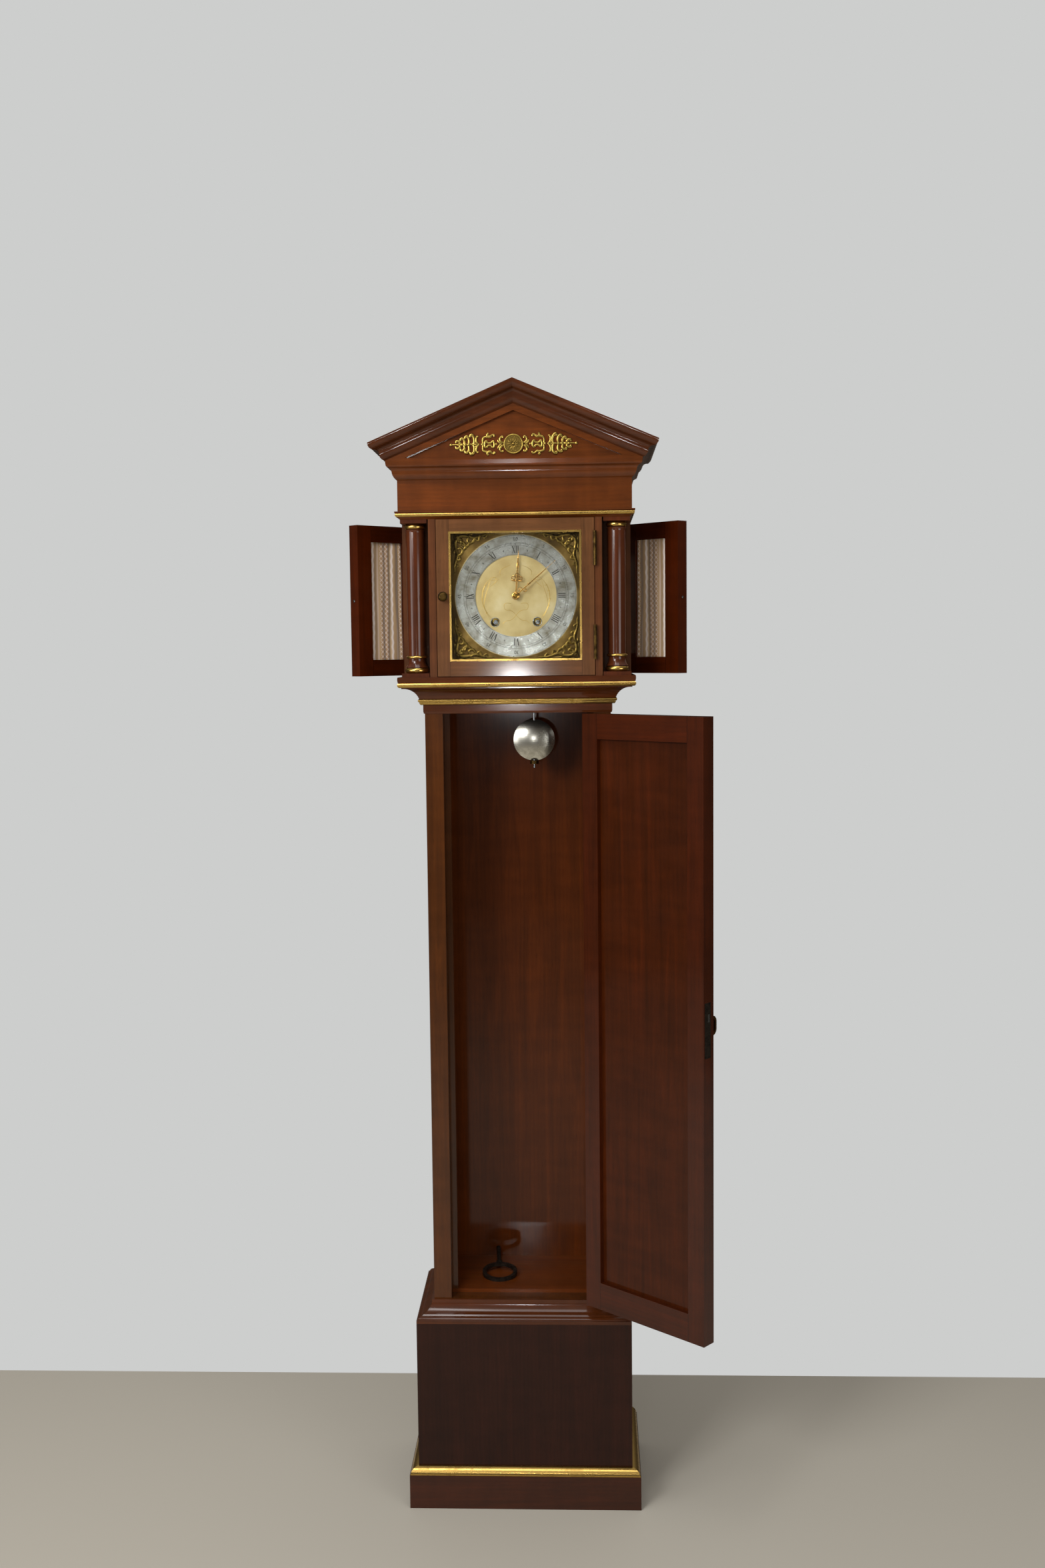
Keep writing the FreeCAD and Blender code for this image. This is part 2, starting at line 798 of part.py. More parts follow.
def build_columns():
    base = d.hood_bottom + d.block_height
    foot = base + d.base_ring_height
    bell = foot + d.base_bell_height
    bead = bell + d.astragal_height
    top = d.soffit_bottom - d.abacus_height - d.capital_ring_height
    neck = top - d.capital_neck_height
    shaft = turned("shaft", [
        (0, foot), (d.base_bell_radius, foot),
        (d.shaft_bottom_radius, bell, -(d.base_bell_height * 1.2)),
        (d.shaft_bottom_radius, bead, d.astragal_height * 0.6),
        (d.shaft_top_radius, neck), (d.capital_ring_radius * 0.93, top, -(d.capital_neck_height * 1.3)),
        (0, top),
    ])
    base_ring = turned("base_ring", ring_outline(d.base_ring_radius, base, d.base_ring_height))
    capital_ring = turned("capital_ring", ring_outline(d.capital_ring_radius, top, d.capital_ring_height))
    for piece in (shaft, base_ring, capital_ring):
        moved(piece, d.column_x, -d.column_y)
    block = square_block(d.block_side, (d.hood_bottom, base))
    abacus = square_block(d.abacus_side, (d.soffit_bottom - d.abacus_height, d.soffit_bottom))
    solids = [shaft, block, abacus]
    group("columns", solids + [mirrored(piece) for piece in solids])
    rings = [base_ring, capital_ring]
    return rings + [mirrored(piece) for piece in rings]


def square_block(side, z_range):
    half = side / 2
    return box((d.column_x - half, d.column_x + half), (-d.column_y - half, -d.column_y + half), z_range)


def build_hood_frame():
    height = (d.hood_bottom, d.soffit_bottom)
    right = [
        box((d.cheek_inner, cheek_half), (hood_front, post_back), height),
        box((cheek_half, d.post_half_width), (-d.post_front, post_back), height),
        box((rear_post_inner, hood_half), (rear_post_front, back), height),
    ]
    group("hood_frame", right + [mirrored(board) for board in right])


def build_entablature():
    wide = hood_half - d.cheek_inner
    reach = d.soffit_set_back
    low = d.soffit_bottom
    soffit = [(-wide, low), (-reach, low), (reach * 0.37, d.frieze_bottom), (-wide, d.frieze_bottom)]
    node("entablature_soffit",
         u_moulding("entablature_soffit", soffit, hood_half, hood_front, backboard_front))
    bead_top = d.frieze_bottom + d.frieze_bead_height
    fillet_top = bead_top + d.frieze_fillet
    frieze = [
        (-d.board, d.frieze_bottom), (0, d.frieze_bottom), (0, bead_top),
        (d.frieze_fillet_overhang, bead_top), (d.frieze_fillet_overhang, fillet_top), (0, fillet_top),
        (0, d.frieze_top), (-d.board, d.frieze_top),
    ]
    node("frieze", u_moulding("frieze", frieze, hood_half, hood_front, back))
    reach, rise = d.cornice_overhang, d.cornice_height
    cornice_share = [(0.0, 0.0, 0), (0.454, 0.45, 1.05), (0.838, 0.675, -0.5),
                     (0.951, 0.773, 0.3), (1.0, 1.0, 0)]
    cornice = [(-d.board, d.frieze_top)]
    for across, up, bend in cornice_share:
        point = (reach * across if across else 0, d.frieze_top + rise * up)
        if bend:
            point = (*point, reach * bend if bend > 0 else -(reach * -bend))
        cornice.append(point)
    cornice.append((-d.board, cornice_top))
    node("cornice", u_moulding("cornice", cornice, hood_half, hood_front, back))


def eaves_points():
    """The crown moulding as (overhang, height over the cornice, bend), from its foot to its lip."""
    reach = d.eaves_overhang - d.cornice_overhang
    eaves_share = [(0.0, 0.0, 0), (0.336, 0.429, 0.67), (0.713, 0.61, -0.33), (1.0, 1.0, 0.6)]
    points = []
    for across, up, bend in eaves_share:
        point = (d.cornice_overhang + reach * across, d.eaves_height * up)
        if bend:
            point = (*point, reach * bend if bend > 0 else -(reach * -bend))
        points.append(point)
    return points


def mitre(body, corners):
    """Cuts a three-cornered region, drawn in plan, down through a piece at the hood's front corner."""
    top = roof_level(0) + d.overrun
    sketch = new_sketch(body, "XY_Plane", top)
    draw(sketch, corners)
    pocket(body, sketch, top - d.frieze_top)


def raked(name, outline, length):
    """Draws a section on the middle plane and runs it to the right, down the roof's slope."""
    body = new_body(name)
    sketch = new_sketch(body, "YZ_Plane")
    draw(sketch, outline)
    feature = pad(body, sketch, length)
    feature.UseCustomVector = True
    feature.AlongSketchNormal = True
    feature.Direction = Vector(1, 0, -roof_slope.value)
    return body


def build_pediment():
    reach, over = d.eaves_overhang, d.overrun
    front = hood_front - d.cornice_overhang
    lip_half, lip_front = hood_half + reach, hood_front - reach
    board = new_body("pediment_board")
    sketch = new_sketch(board, "XZ_Plane", -hood_front)
    half = [
        (fascia_half, cornice_top), (fascia_half, roof_level(fascia_half)),
        (hood_half, roof_level(hood_half)), (hood_half, roof_level(hood_half) - d.roof_board),
    ]
    outline = half + [(0, roof_level(0) - d.roof_board)]
    outline += [(-across, up) for across, up in reversed(half)]
    draw(sketch, outline)
    pad(board, sketch, d.cornice_overhang)
    sketch = new_sketch(board, "XZ_Plane", -front)
    recess_low = cornice_top + d.recess_margin
    draw(sketch, [(-d.recess_half_width, recess_low), (d.recess_half_width, recess_low),
                  (0, recess_low + d.recess_height)])
    pocket(board, sketch, d.recess_depth)
    for side in (1, -1):
        mitre(board, [(side * (hood_half - over), hood_front + over),
                      (side * (fascia_half + over), front - over),
                      (side * (fascia_half + over), hood_front + over)])
    node("pediment_board", board)

    profile = eaves_points()
    eaves = new_body("eaves")
    sketch = new_sketch(eaves, "XZ_Plane", -back)
    outline = [(hood_half, cornice_top)]
    outline += [(hood_half + point[0], cornice_top + point[1], *point[2:]) for point in profile]
    outline.append((hood_half, roof_level(hood_half)))
    draw(sketch, outline)
    pad(eaves, sketch, back - lip_front)
    mitre(eaves, [(hood_half - over, hood_front + over), (hood_half - over, lip_front - over),
                  (lip_half + over, lip_front - over)])
    raking = [(hood_front - point[0], cornice_top + point[1] + roof_slope * (hood_half + point[0]),
               *(-bend for bend in point[2:])) for point in profile]
    raking.append((front, roof_level(0)))
    rake = raked("rake", raking, lip_half)
    mitre(rake, [(fascia_half - over, front + over), (lip_half + over, lip_front - over),
                 (lip_half + over, front + over)])
    group("pediment_mouldings", [rake, mirrored(rake), eaves, mirrored(eaves)])

    top = roof_level(0)
    roof = raked("roof", rectangle((front, back), (top - d.roof_board, top)), hood_half)
    group("roof_boards", [roof, mirrored(roof)])


def frame_layer(body, outer, inner, y_back, length):
    """Adds a layer of a door: a rectangle with a rectangular opening, from its back face to the front."""
    sketch = new_sketch(body, "XZ_Plane", -y_back)
    draw(sketch, rectangle(*outer))
    draw(sketch, rectangle(*inner))
    return pad(body, sketch, length)


def grown(ranges, margin):
    """The x and z ranges of an opening, widened all round."""
    return [(low - margin, high + margin) for low, high in ranges]


def hinge_leaf(gap, height, on_door):
    """One leaf of a butt hinge with its pin on the Z axis: the leaf runs back in the gap beside the door."""
    thickness = gap * d.hinge_leaf_share
    clear = d.hinge_barrel_radius + d.running_gap
    x_range = (-gap, thickness - gap) if on_door else (-thickness, 0)
    half, third = height / 2, height / 6
    parts = [box(x_range, (clear, clear + d.hinge_width), (-half, half))]
    spans = [(-half, -third), (third, half)] if on_door else [(d.running_gap - third, third - d.running_gap)]
    bore = d.hinge_pin_radius + d.hinge_fit
    for low, high in spans:
        barrel = upright(d.hinge_barrel_radius, low, high)
        tab = box(x_range, (0, clear + d.overrun), (low, high))
        knuckle = fuse(barrel, tab)
        parts.append(knuckle if on_door else cut(knuckle, upright(bore, low - d.overrun, high + d.overrun)))
    if on_door:
        parts.append(upright(d.hinge_pin_radius, -half, half))
    return fuse(*parts)


def upright(radius, low, high):
    cylinder = doc.addObject("Part::Cylinder", "Upright")
    cylinder.Radius = radius.value
    cylinder.setExpression("Radius", radius.text)
    length = high - low
    cylinder.Height = length.value
    cylinder.setExpression("Height", length.text)
    return moved(cylinder, 0, 0, low)


def hinges(gap, height, x, y, levels, turn=0):
    """The case leaves and the door leaves of one door's hinges, at each level on the same axis."""
    pairs = []
    for on_door in (False, True):
        leaves = []
        for level in levels:
            leaf = moved(hinge_leaf(gap, height, on_door), x, y, level)
            leaf.Placement = Placement(leaf.Placement.Base, Rotation(Vector(0, 0, 1), turn))
            leaves.append(leaf)
        pairs.append(leaves)
    return pairs


def swing(parts, x, y, angle):
    """Turns closed pieces of a door about its upright hinge axis."""
    centre = Vector(x.value, y.value, 0)
    for piece in parts:
        piece.Placement = Placement(Vector(0, 0, 0), Rotation(Vector(0, 0, 1), angle.value), centre)


def build_dial_door():
    front = -d.dial_door_front
    rear = front + d.dial_door_thickness
    half = d.cheek_inner - d.dial_door_gap
    outer = [(-half, half), (d.hood_bottom + d.side_door_gap, d.soffit_bottom - d.side_door_gap)]
    sight = [(-d.sight_width / 2, d.sight_width / 2),
             (d.dial_z - d.sight_height / 2, d.dial_z + d.sight_height / 2)]
    frame = new_body("dial_door_frame")
    frame_layer(frame, outer, grown(sight, d.glass_margin), rear, d.dial_door_thickness - d.sight_face)
    frame_layer(frame, outer, sight, front + d.sight_face, d.sight_face)
    node("dial_door_frame", frame)
    pane = grown(sight, d.glass_margin - d.rebate_gap)
    seat = front + d.sight_face
    node("dial_glass", box(pane[0], (seat, seat + d.glass_thickness), pane[1]))
    inner_frame = new_body("dial_sight_frame")
    frame_layer(inner_frame, sight, grown(sight, -d.sight_bar), seat, d.sight_depth)
    node("dial_sight_frame", inner_frame)
    knob = turned("dial_door_knob", [
        (0, 0), (d.knob_radius * 0.5, 0), (d.knob_radius * 0.5, d.knob_length * 0.62, d.knob_radius * 0.6),
        (d.knob_neck_radius, d.knob_length * 0.72), (d.knob_neck_radius, d.knob_length * 0.88),
        (d.knob_neck_radius * 1.5, d.knob_length), (0, d.knob_length),
    ])
    turn_to_back(knob, -d.knob_x, front - d.knob_length, d.dial_z)
    levels = [d.dial_z + side * d.sight_height * 0.36 for side in (-1, 1)]
    fixed, moving = hinges(d.dial_door_gap, d.hinge_height, d.cheek_inner, front - d.hinge_stand_off, levels)
    group("dial_door_fittings", moving + [knob])
    return fixed


def build_side_doors():
    """Builds the right door closed, swings it open on its back edge, and mirrors it for the left."""
    rear = rear_post_front - d.side_door_gap
    free = post_back + d.side_door_gap
    outer_face, inner_face = hood_half, hood_half - d.side_door_thickness
    low, high = d.hood_bottom + d.side_door_gap, d.soffit_bottom - d.side_door_gap
    opening = [(free + d.side_door_stile, rear - d.side_door_stile),
               (low + d.side_door_rail, high - d.side_door_rail)]
    frame = new_body("side_door_right_frame")
    sketch = new_sketch(frame, "YZ_Plane", inner_face)
    draw(sketch, rectangle((free, rear), (low, high)))
    draw(sketch, rectangle(*opening))
    pad(frame, sketch, d.side_door_thickness)
    sketch = new_sketch(frame, "XY_Plane", high + d.overrun)
    draw(sketch, [(inner_face - d.overrun, free - d.overrun), (outer_face, free - d.overrun),
                  (outer_face, free), (inner_face, free + d.side_door_bevel),
                  (inner_face - d.overrun, free + d.side_door_bevel)])
    pocket(frame, sketch, high - low + 2 * d.overrun)
    cloth = build_cloth(inner_face + d.cloth_set_back, opening)
    ball = doc.addObject("Part::Sphere", "Ball")
    ball.Radius = d.catch_radius.value
    ball.setExpression("Radius", d.catch_radius.text)
    moved(ball, outer_face - d.side_door_thickness / 2,
          free + d.side_door_bevel / 2 + d.catch_radius - d.catch_length, (low + high) / 2)
    seat = box((inner_face, outer_face), (free, free + d.catch_radius * 2), (low, high))
    catch = cut(ball, seat)
    levels = [d.dial_z + side * d.sight_height * 0.36 for side in (-1, 1)]
    axis_x, axis_y = hood_half + d.hinge_barrel_radius, rear_post_front
    fixed, moving = hinges(d.side_door_gap, d.hinge_height, axis_x, axis_y, levels, turn=90)
    fittings = doc.addObject("Part::Compound", "Fittings")
    fittings.Links = moving + [catch]
    pieces = {"frame": frame, "fabric": cloth, "fittings": fittings}
    swing(pieces.values(), axis_x, axis_y, d.side_door_angle)
    for name, piece in pieces.items():
        node(f"side_door_right_{name}", piece)
        node(f"side_door_left_{name}", mirrored(piece))
    return fixed + [mirrored(leaf) for leaf in fixed]


def build_cloth(x, opening):
    """Gathered cloth behind a side door's opening: folds of arcs, fuller at the middle than at the rods."""
    (front, rear), (low, high) = opening
    cloth = new_body("cloth")
    count = 2 * VALUES["cloth_folds"]
    step = (rear - front) / count
    fullest, flattest = step * 0.62, step * 0.85
    sections = []
    for level, radius in ((low, fullest), (high, flattest)):
        sketch = new_sketch(cloth, "XY_Plane", level)
        near = [(x, front)] + [(x, front + step * number, radius if number % 2 else -radius)
                               for number in range(1, count + 1)]
        far_x = x + d.cloth_thickness
        far = [(far_x, rear)] + [(far_x, front + step * number, radius if number % 2 else -radius)
                                 for number in range(count - 1, -1, -1)]
        draw(sketch, near + far)
        sections.append(sketch)
    loft = cloth.newObject("PartDesign::AdditiveLoft", "Folds")
    loft.Profile, loft.Sections = sections[0], sections[1:]
    loft.Ruled = True
    return cloth


def key_slot(body, y_front, depth, key_x):
    """Cuts the round hole for the shank and the slot for the bit, from a front face to the back."""
    sketch = new_sketch(body, "XZ_Plane", -y_front)
    draw_circle(sketch, key_x, d.lock_z, d.key_shank_radius + d.key_fit)
    pocket(body, sketch, depth)
    sketch = new_sketch(body, "XZ_Plane", -y_front)
    half = d.bit_thickness / 2 + d.key_fit
    draw(sketch, rectangle((key_x - half, key_x + half),
                           (d.lock_z - d.bit_length - d.key_fit, d.lock_z)))
    pocket(body, sketch, depth)


def build_trunk_door():
    free, key_x, bolt_y, bolt_z = lock_places()
    hinge_side = opening_half - d.trunk_door_gap
    low, high = rail_top + d.trunk_door_gap, d.trunk_door_top - d.trunk_door_gap
    opening = [(free + d.trunk_door_stile, hinge_side - d.trunk_door_stile),
               (low + d.trunk_door_bottom_rail, high - d.trunk_door_top_rail)]
    outer = [(free, hinge_side), (low, high)]
    panel_back = door_back - d.trunk_panel_set_back
    panel_front = panel_back - d.trunk_panel
    frame = new_body("trunk_door_frame")
    frame_layer(frame, outer, opening, door_back, d.trunk_panel_set_back)
    frame_layer(frame, outer, grown(opening, d.panel_rebate), panel_back, d.trunk_panel)
    frame_layer(frame, outer, opening, panel_front, panel_front - trunk_front)
    sketch = new_sketch(frame, "XZ_Plane", -lock_front)
    lock_x = (free + d.faceplate, free + d.lock_width)
    lock_z = (d.lock_z - d.lock_height / 2, d.lock_z + d.lock_height / 2)
    draw(sketch, rectangle(lock_x, lock_z))
    pocket(frame, sketch, d.lock_depth)
    sketch = new_sketch(frame, "YZ_Plane", free + d.faceplate)
    lock_middle = (lock_front + lock_back) / 2
    plate_y = (lock_middle - d.faceplate_width / 2, lock_middle + d.faceplate_width / 2)
    plate_z = (d.lock_z - d.faceplate_height / 2, d.lock_z + d.faceplate_height / 2)
    draw(sketch, rectangle(plate_y, plate_z))
    pocket(frame, sketch, d.faceplate + d.overrun)
    key_slot(frame, trunk_front, lock_front - trunk_front + d.overrun, key_x)
    panel_outer = grown(opening, d.panel_rebate - d.rebate_gap)
    panel_board = prism("panel_board", "XZ_Plane", -panel_back, rectangle(*panel_outer), d.trunk_panel)
    lock_room_x, lock_room_z = grown((lock_x, lock_z), d.rebate_gap)
    panel = cut(panel_board, box(lock_room_x, (lock_front - d.rebate_gap, door_back), lock_room_z))

    lock = new_body("lock_case")
    sketch = new_sketch(lock, "XZ_Plane", -lock_back)
    draw(sketch, rectangle(lock_x, lock_z))
    pad(lock, sketch, d.lock_depth)
    sketch = new_sketch(lock, "XZ_Plane", -lock_front)
    draw_circle(sketch, key_x, d.lock_z, d.bit_chamber_radius)
    pocket(lock, sketch, d.bit_height + 2 * d.bolt_fit)
    tail = free + d.bolt_length + d.bolt_fit
    sketch = new_sketch(lock, "YZ_Plane", tail)
    slot = rectangle((bolt_y - d.bolt_thickness / 2 - d.bolt_fit, bolt_y + d.bolt_thickness / 2 + d.bolt_fit),
                     (bolt_z - d.bolt_height / 2 - d.bolt_fit, bolt_z + d.bolt_height / 2 + d.bolt_fit))
    draw(sketch, slot)
    pocket(lock, sketch, tail - free)
    plate = new_body("faceplate")
    sketch = new_sketch(plate, "YZ_Plane", free)
    draw(sketch, rectangle(plate_y, plate_z))
    draw(sketch, slot)
    pad(plate, sketch, d.faceplate)
    escutcheon = new_body("escutcheon")
    sketch = new_sketch(escutcheon, "XZ_Plane", -trunk_front)
    draw_circle(sketch, key_x, d.lock_z - d.escutcheon_radius * 0.4, d.escutcheon_radius * 1.4)
    pad(escutcheon, sketch, d.escutcheon)
    key_slot(escutcheon, trunk_front - d.escutcheon, d.escutcheon + d.overrun, key_x)
    bolt_section = rectangle((bolt_y - d.bolt_thickness / 2, bolt_y + d.bolt_thickness / 2),
                             (bolt_z - d.bolt_height / 2, bolt_z + d.bolt_height / 2))
    bolt = prism("lock_bolt", "YZ_Plane", free, bolt_section, d.bolt_length)
    key = build_trunk_key(key_x)
    axis_y = trunk_front - d.hinge_stand_off
    levels = [low + (high - low) * share for share in (0.14, 0.86)]
    fixed, moving = hinges(d.trunk_door_gap, d.hinge_height, opening_half, axis_y, levels)
    fittings = doc.addObject("Part::Compound", "Fittings")
    fittings.Links = moving + [lock, plate, escutcheon]
    pieces = {"trunk_door_frame": frame, "trunk_door_panel": panel, "trunk_door_fittings": fittings,
              "lock_bolt": bolt, "trunk_key": key}
    swing(pieces.values(), opening_half, axis_y, d.trunk_door_angle)
    for name, piece in pieces.items():
        node(name, piece)
    return fixed


def round_ended(across, up, straight, radius):
    """An upright outline of two straight sides and two round ends."""
    low, high = up - straight, up + straight
    return [(across - radius, high, radius), (across - radius, low), (across, low - radius, radius),
            (across + radius, low, radius), (across + radius, high), (across, high + radius, radius)]


def build_trunk_key(key_x):
    """The trunk key in its lock: bit, shank, collar and a flat bow with round ends."""
    key = new_body("trunk_key")
    tip = lock_front + d.bit_height + d.bolt_fit
    collar = trunk_front - d.escutcheon - d.key_stand_off
    bow_root = collar - d.key_collar_length
    for start, length, radius in ((tip, tip - bow_root + d.overrun, d.key_shank_radius),
                                  (collar, d.key_collar_length, d.key_collar_radius)):
        sketch = new_sketch(key, "XZ_Plane", -start)
        draw_circle(sketch, key_x, d.lock_z, radius)
        pad(key, sketch, length)
    sketch = new_sketch(key, "XZ_Plane", -tip)
    half = d.bit_thickness / 2
    draw(sketch, rectangle((key_x - half, key_x + half), (d.lock_z - d.bit_length, d.lock_z)))
    pad(key, sketch, d.bit_height)
    sketch = new_sketch(key, "YZ_Plane", key_x - d.bow_thickness / 2)
    for margin in (0, d.bow_wire):
        radius = d.bow_length / 2 - margin
        straight = (d.bow_height - d.bow_length) / 2
        draw(sketch, round_ended(bow_root - d.bow_length / 2, d.lock_z, straight, radius))
    pad(key, sketch, d.bow_thickness)
    return key


# Places of the arbors, measured from the centre arbor to the right and up
great_distance = d.module_great * (d.great_teeth + d.pinion_teeth) / 2
winding_z = -root(great_distance * great_distance - d.winding_x * d.winding_x)
strike_lead = d.strike_x - d.winding_x
strike_z = winding_z + root(great_distance * great_distance - strike_lead * strike_lead)
stud_x = -(d.module_motion * (d.minute_teeth + d.cannon_teeth) / 2)
front_plate_back = -d.plate_front + d.plate_thickness
back_plate_front = front_plate_back + d.plate_gap
back_plate_back = back_plate_front + d.plate_thickness
seat_top = d.seat_bottom + d.seat_board


def third_place():
    """Where the third arbor stands, so that it meshes with the centre wheel and the escape pinion."""
    near = d.module_centre * (d.centre_teeth + d.pinion_teeth) / 2
    far = d.module_third * (d.third_teeth + d.pinion_teeth) / 2
    span = root(d.escape_x * d.escape_x + d.escape_rise * d.escape_rise)
    along = (near * near - far * far + span * span) / (2 * span)
    aside = root(near * near - along * along)
    return ((d.escape_x * along - d.escape_rise * aside) / span,
            (d.escape_rise * along + d.escape_x * aside) / span)


third_x, third_z = third_place()


def heading(x, z):
    """The angle in a wheel's own plane towards a place to the right and up."""
    return math.degrees(math.atan2(-as_size(z).value, as_size(x).value))


def toothed(body, y_front, thickness, teeth, module, aim, is_pinion=False):
    """Adds a toothed disc to an arbor. A wheel aims a tooth at its mate, and a pinion a gap."""
    number = VALUES[teeth]
    count = getattr(d, teeth)
    pitch_radius = module * count / 2
    root_radius = pitch_radius - module * d.dedendum_share
    tip_radius = pitch_radius + module * d.addendum_share
    disc = new_sketch(body, "XY_Plane", y_front)
    draw_circle(disc, 0, 0, root_radius)
    pad(body, disc, thickness)
    turn = aim + (180.0 / number if is_pinion else 0.0)
    tooth = new_sketch(body, "XY_Plane", y_front, turn)
    wide = module * (d.pinion_root_share if is_pinion else d.tooth_root_share)
    narrow = module * d.tooth_tip_share
    inside = root_radius - module * d.dedendum_share
    draw(tooth, [(inside, -wide), (root_radius, -wide), (tip_radius, -narrow), (tip_radius, narrow),
                 (root_radius, wide), (inside, wide)])
    repeat(body, pad(body, tooth, thickness), teeth)
    return root_radius


def repeat(body, feature, count):
    """Repeats a feature evenly round the arbor."""
    pattern = body.newObject("PartDesign::PolarPattern", "Round")
    pattern.Originals = [feature]
    pattern.Axis = (origin_feature(body, "Z_Axis"), [""])
    pattern.Angle = 360
    pattern.Occurrences = VALUES[count]
    pattern.setExpression("Occurrences", f"dims.{count}")
    body.Tip = pattern


def cross_out(body, y_front, thickness, root_radius):
    """Cuts the windows between a wheel's rim, hub and spokes."""
    angle = 2 * math.pi / VALUES["crossings"]
    half = d.spoke / 2
    inner, outer = d.hub_radius + d.rim / 2, root_radius - d.rim
    window = new_sketch(body, "XY_Plane", y_front + thickness)
    corners = []
    for reach in (inner, outer):
        corners.append(((reach, half), (reach * math.cos(angle) + half * math.sin(angle),
                                        reach * math.sin(angle) - half * math.cos(angle))))
    bends = [root(reach * reach + half * half) for reach in (inner, outer)]
    (inner_first, inner_last), (outer_first, outer_last) = corners
    draw(window, [(*inner_first, -bends[0]), outer_first, (*outer_last, bends[1]), inner_last])
    repeat(body, pocket(body, window, thickness + d.overrun), "crossings")


def arbor(name, front, back_end, pivot_front=True, pivot_back=True):
    """An arbor along local Z, which is the clock's depth, with its pivots in the plates."""
    radius, pivot = d.arbor_radius, d.pivot_radius
    low = front_plate_back + d.running_gap if pivot_front else front
    high = back_plate_front - d.running_gap if pivot_back else back_end
    points = [(0, front), (pivot, front), (pivot, low), (radius, low)]
    if not pivot_front:
        points = [(0, front), (radius, front)]
    if pivot_back:
        points += [(radius, high), (pivot, high), (pivot, back_end), (0, back_end)]
    else:
        points += [(radius, back_end), (0, back_end)]
    return turned(name, points)


def at_arbor(body, x, z):
    turn_to_back(body, x, 0, d.arbor_z + z)
    return body


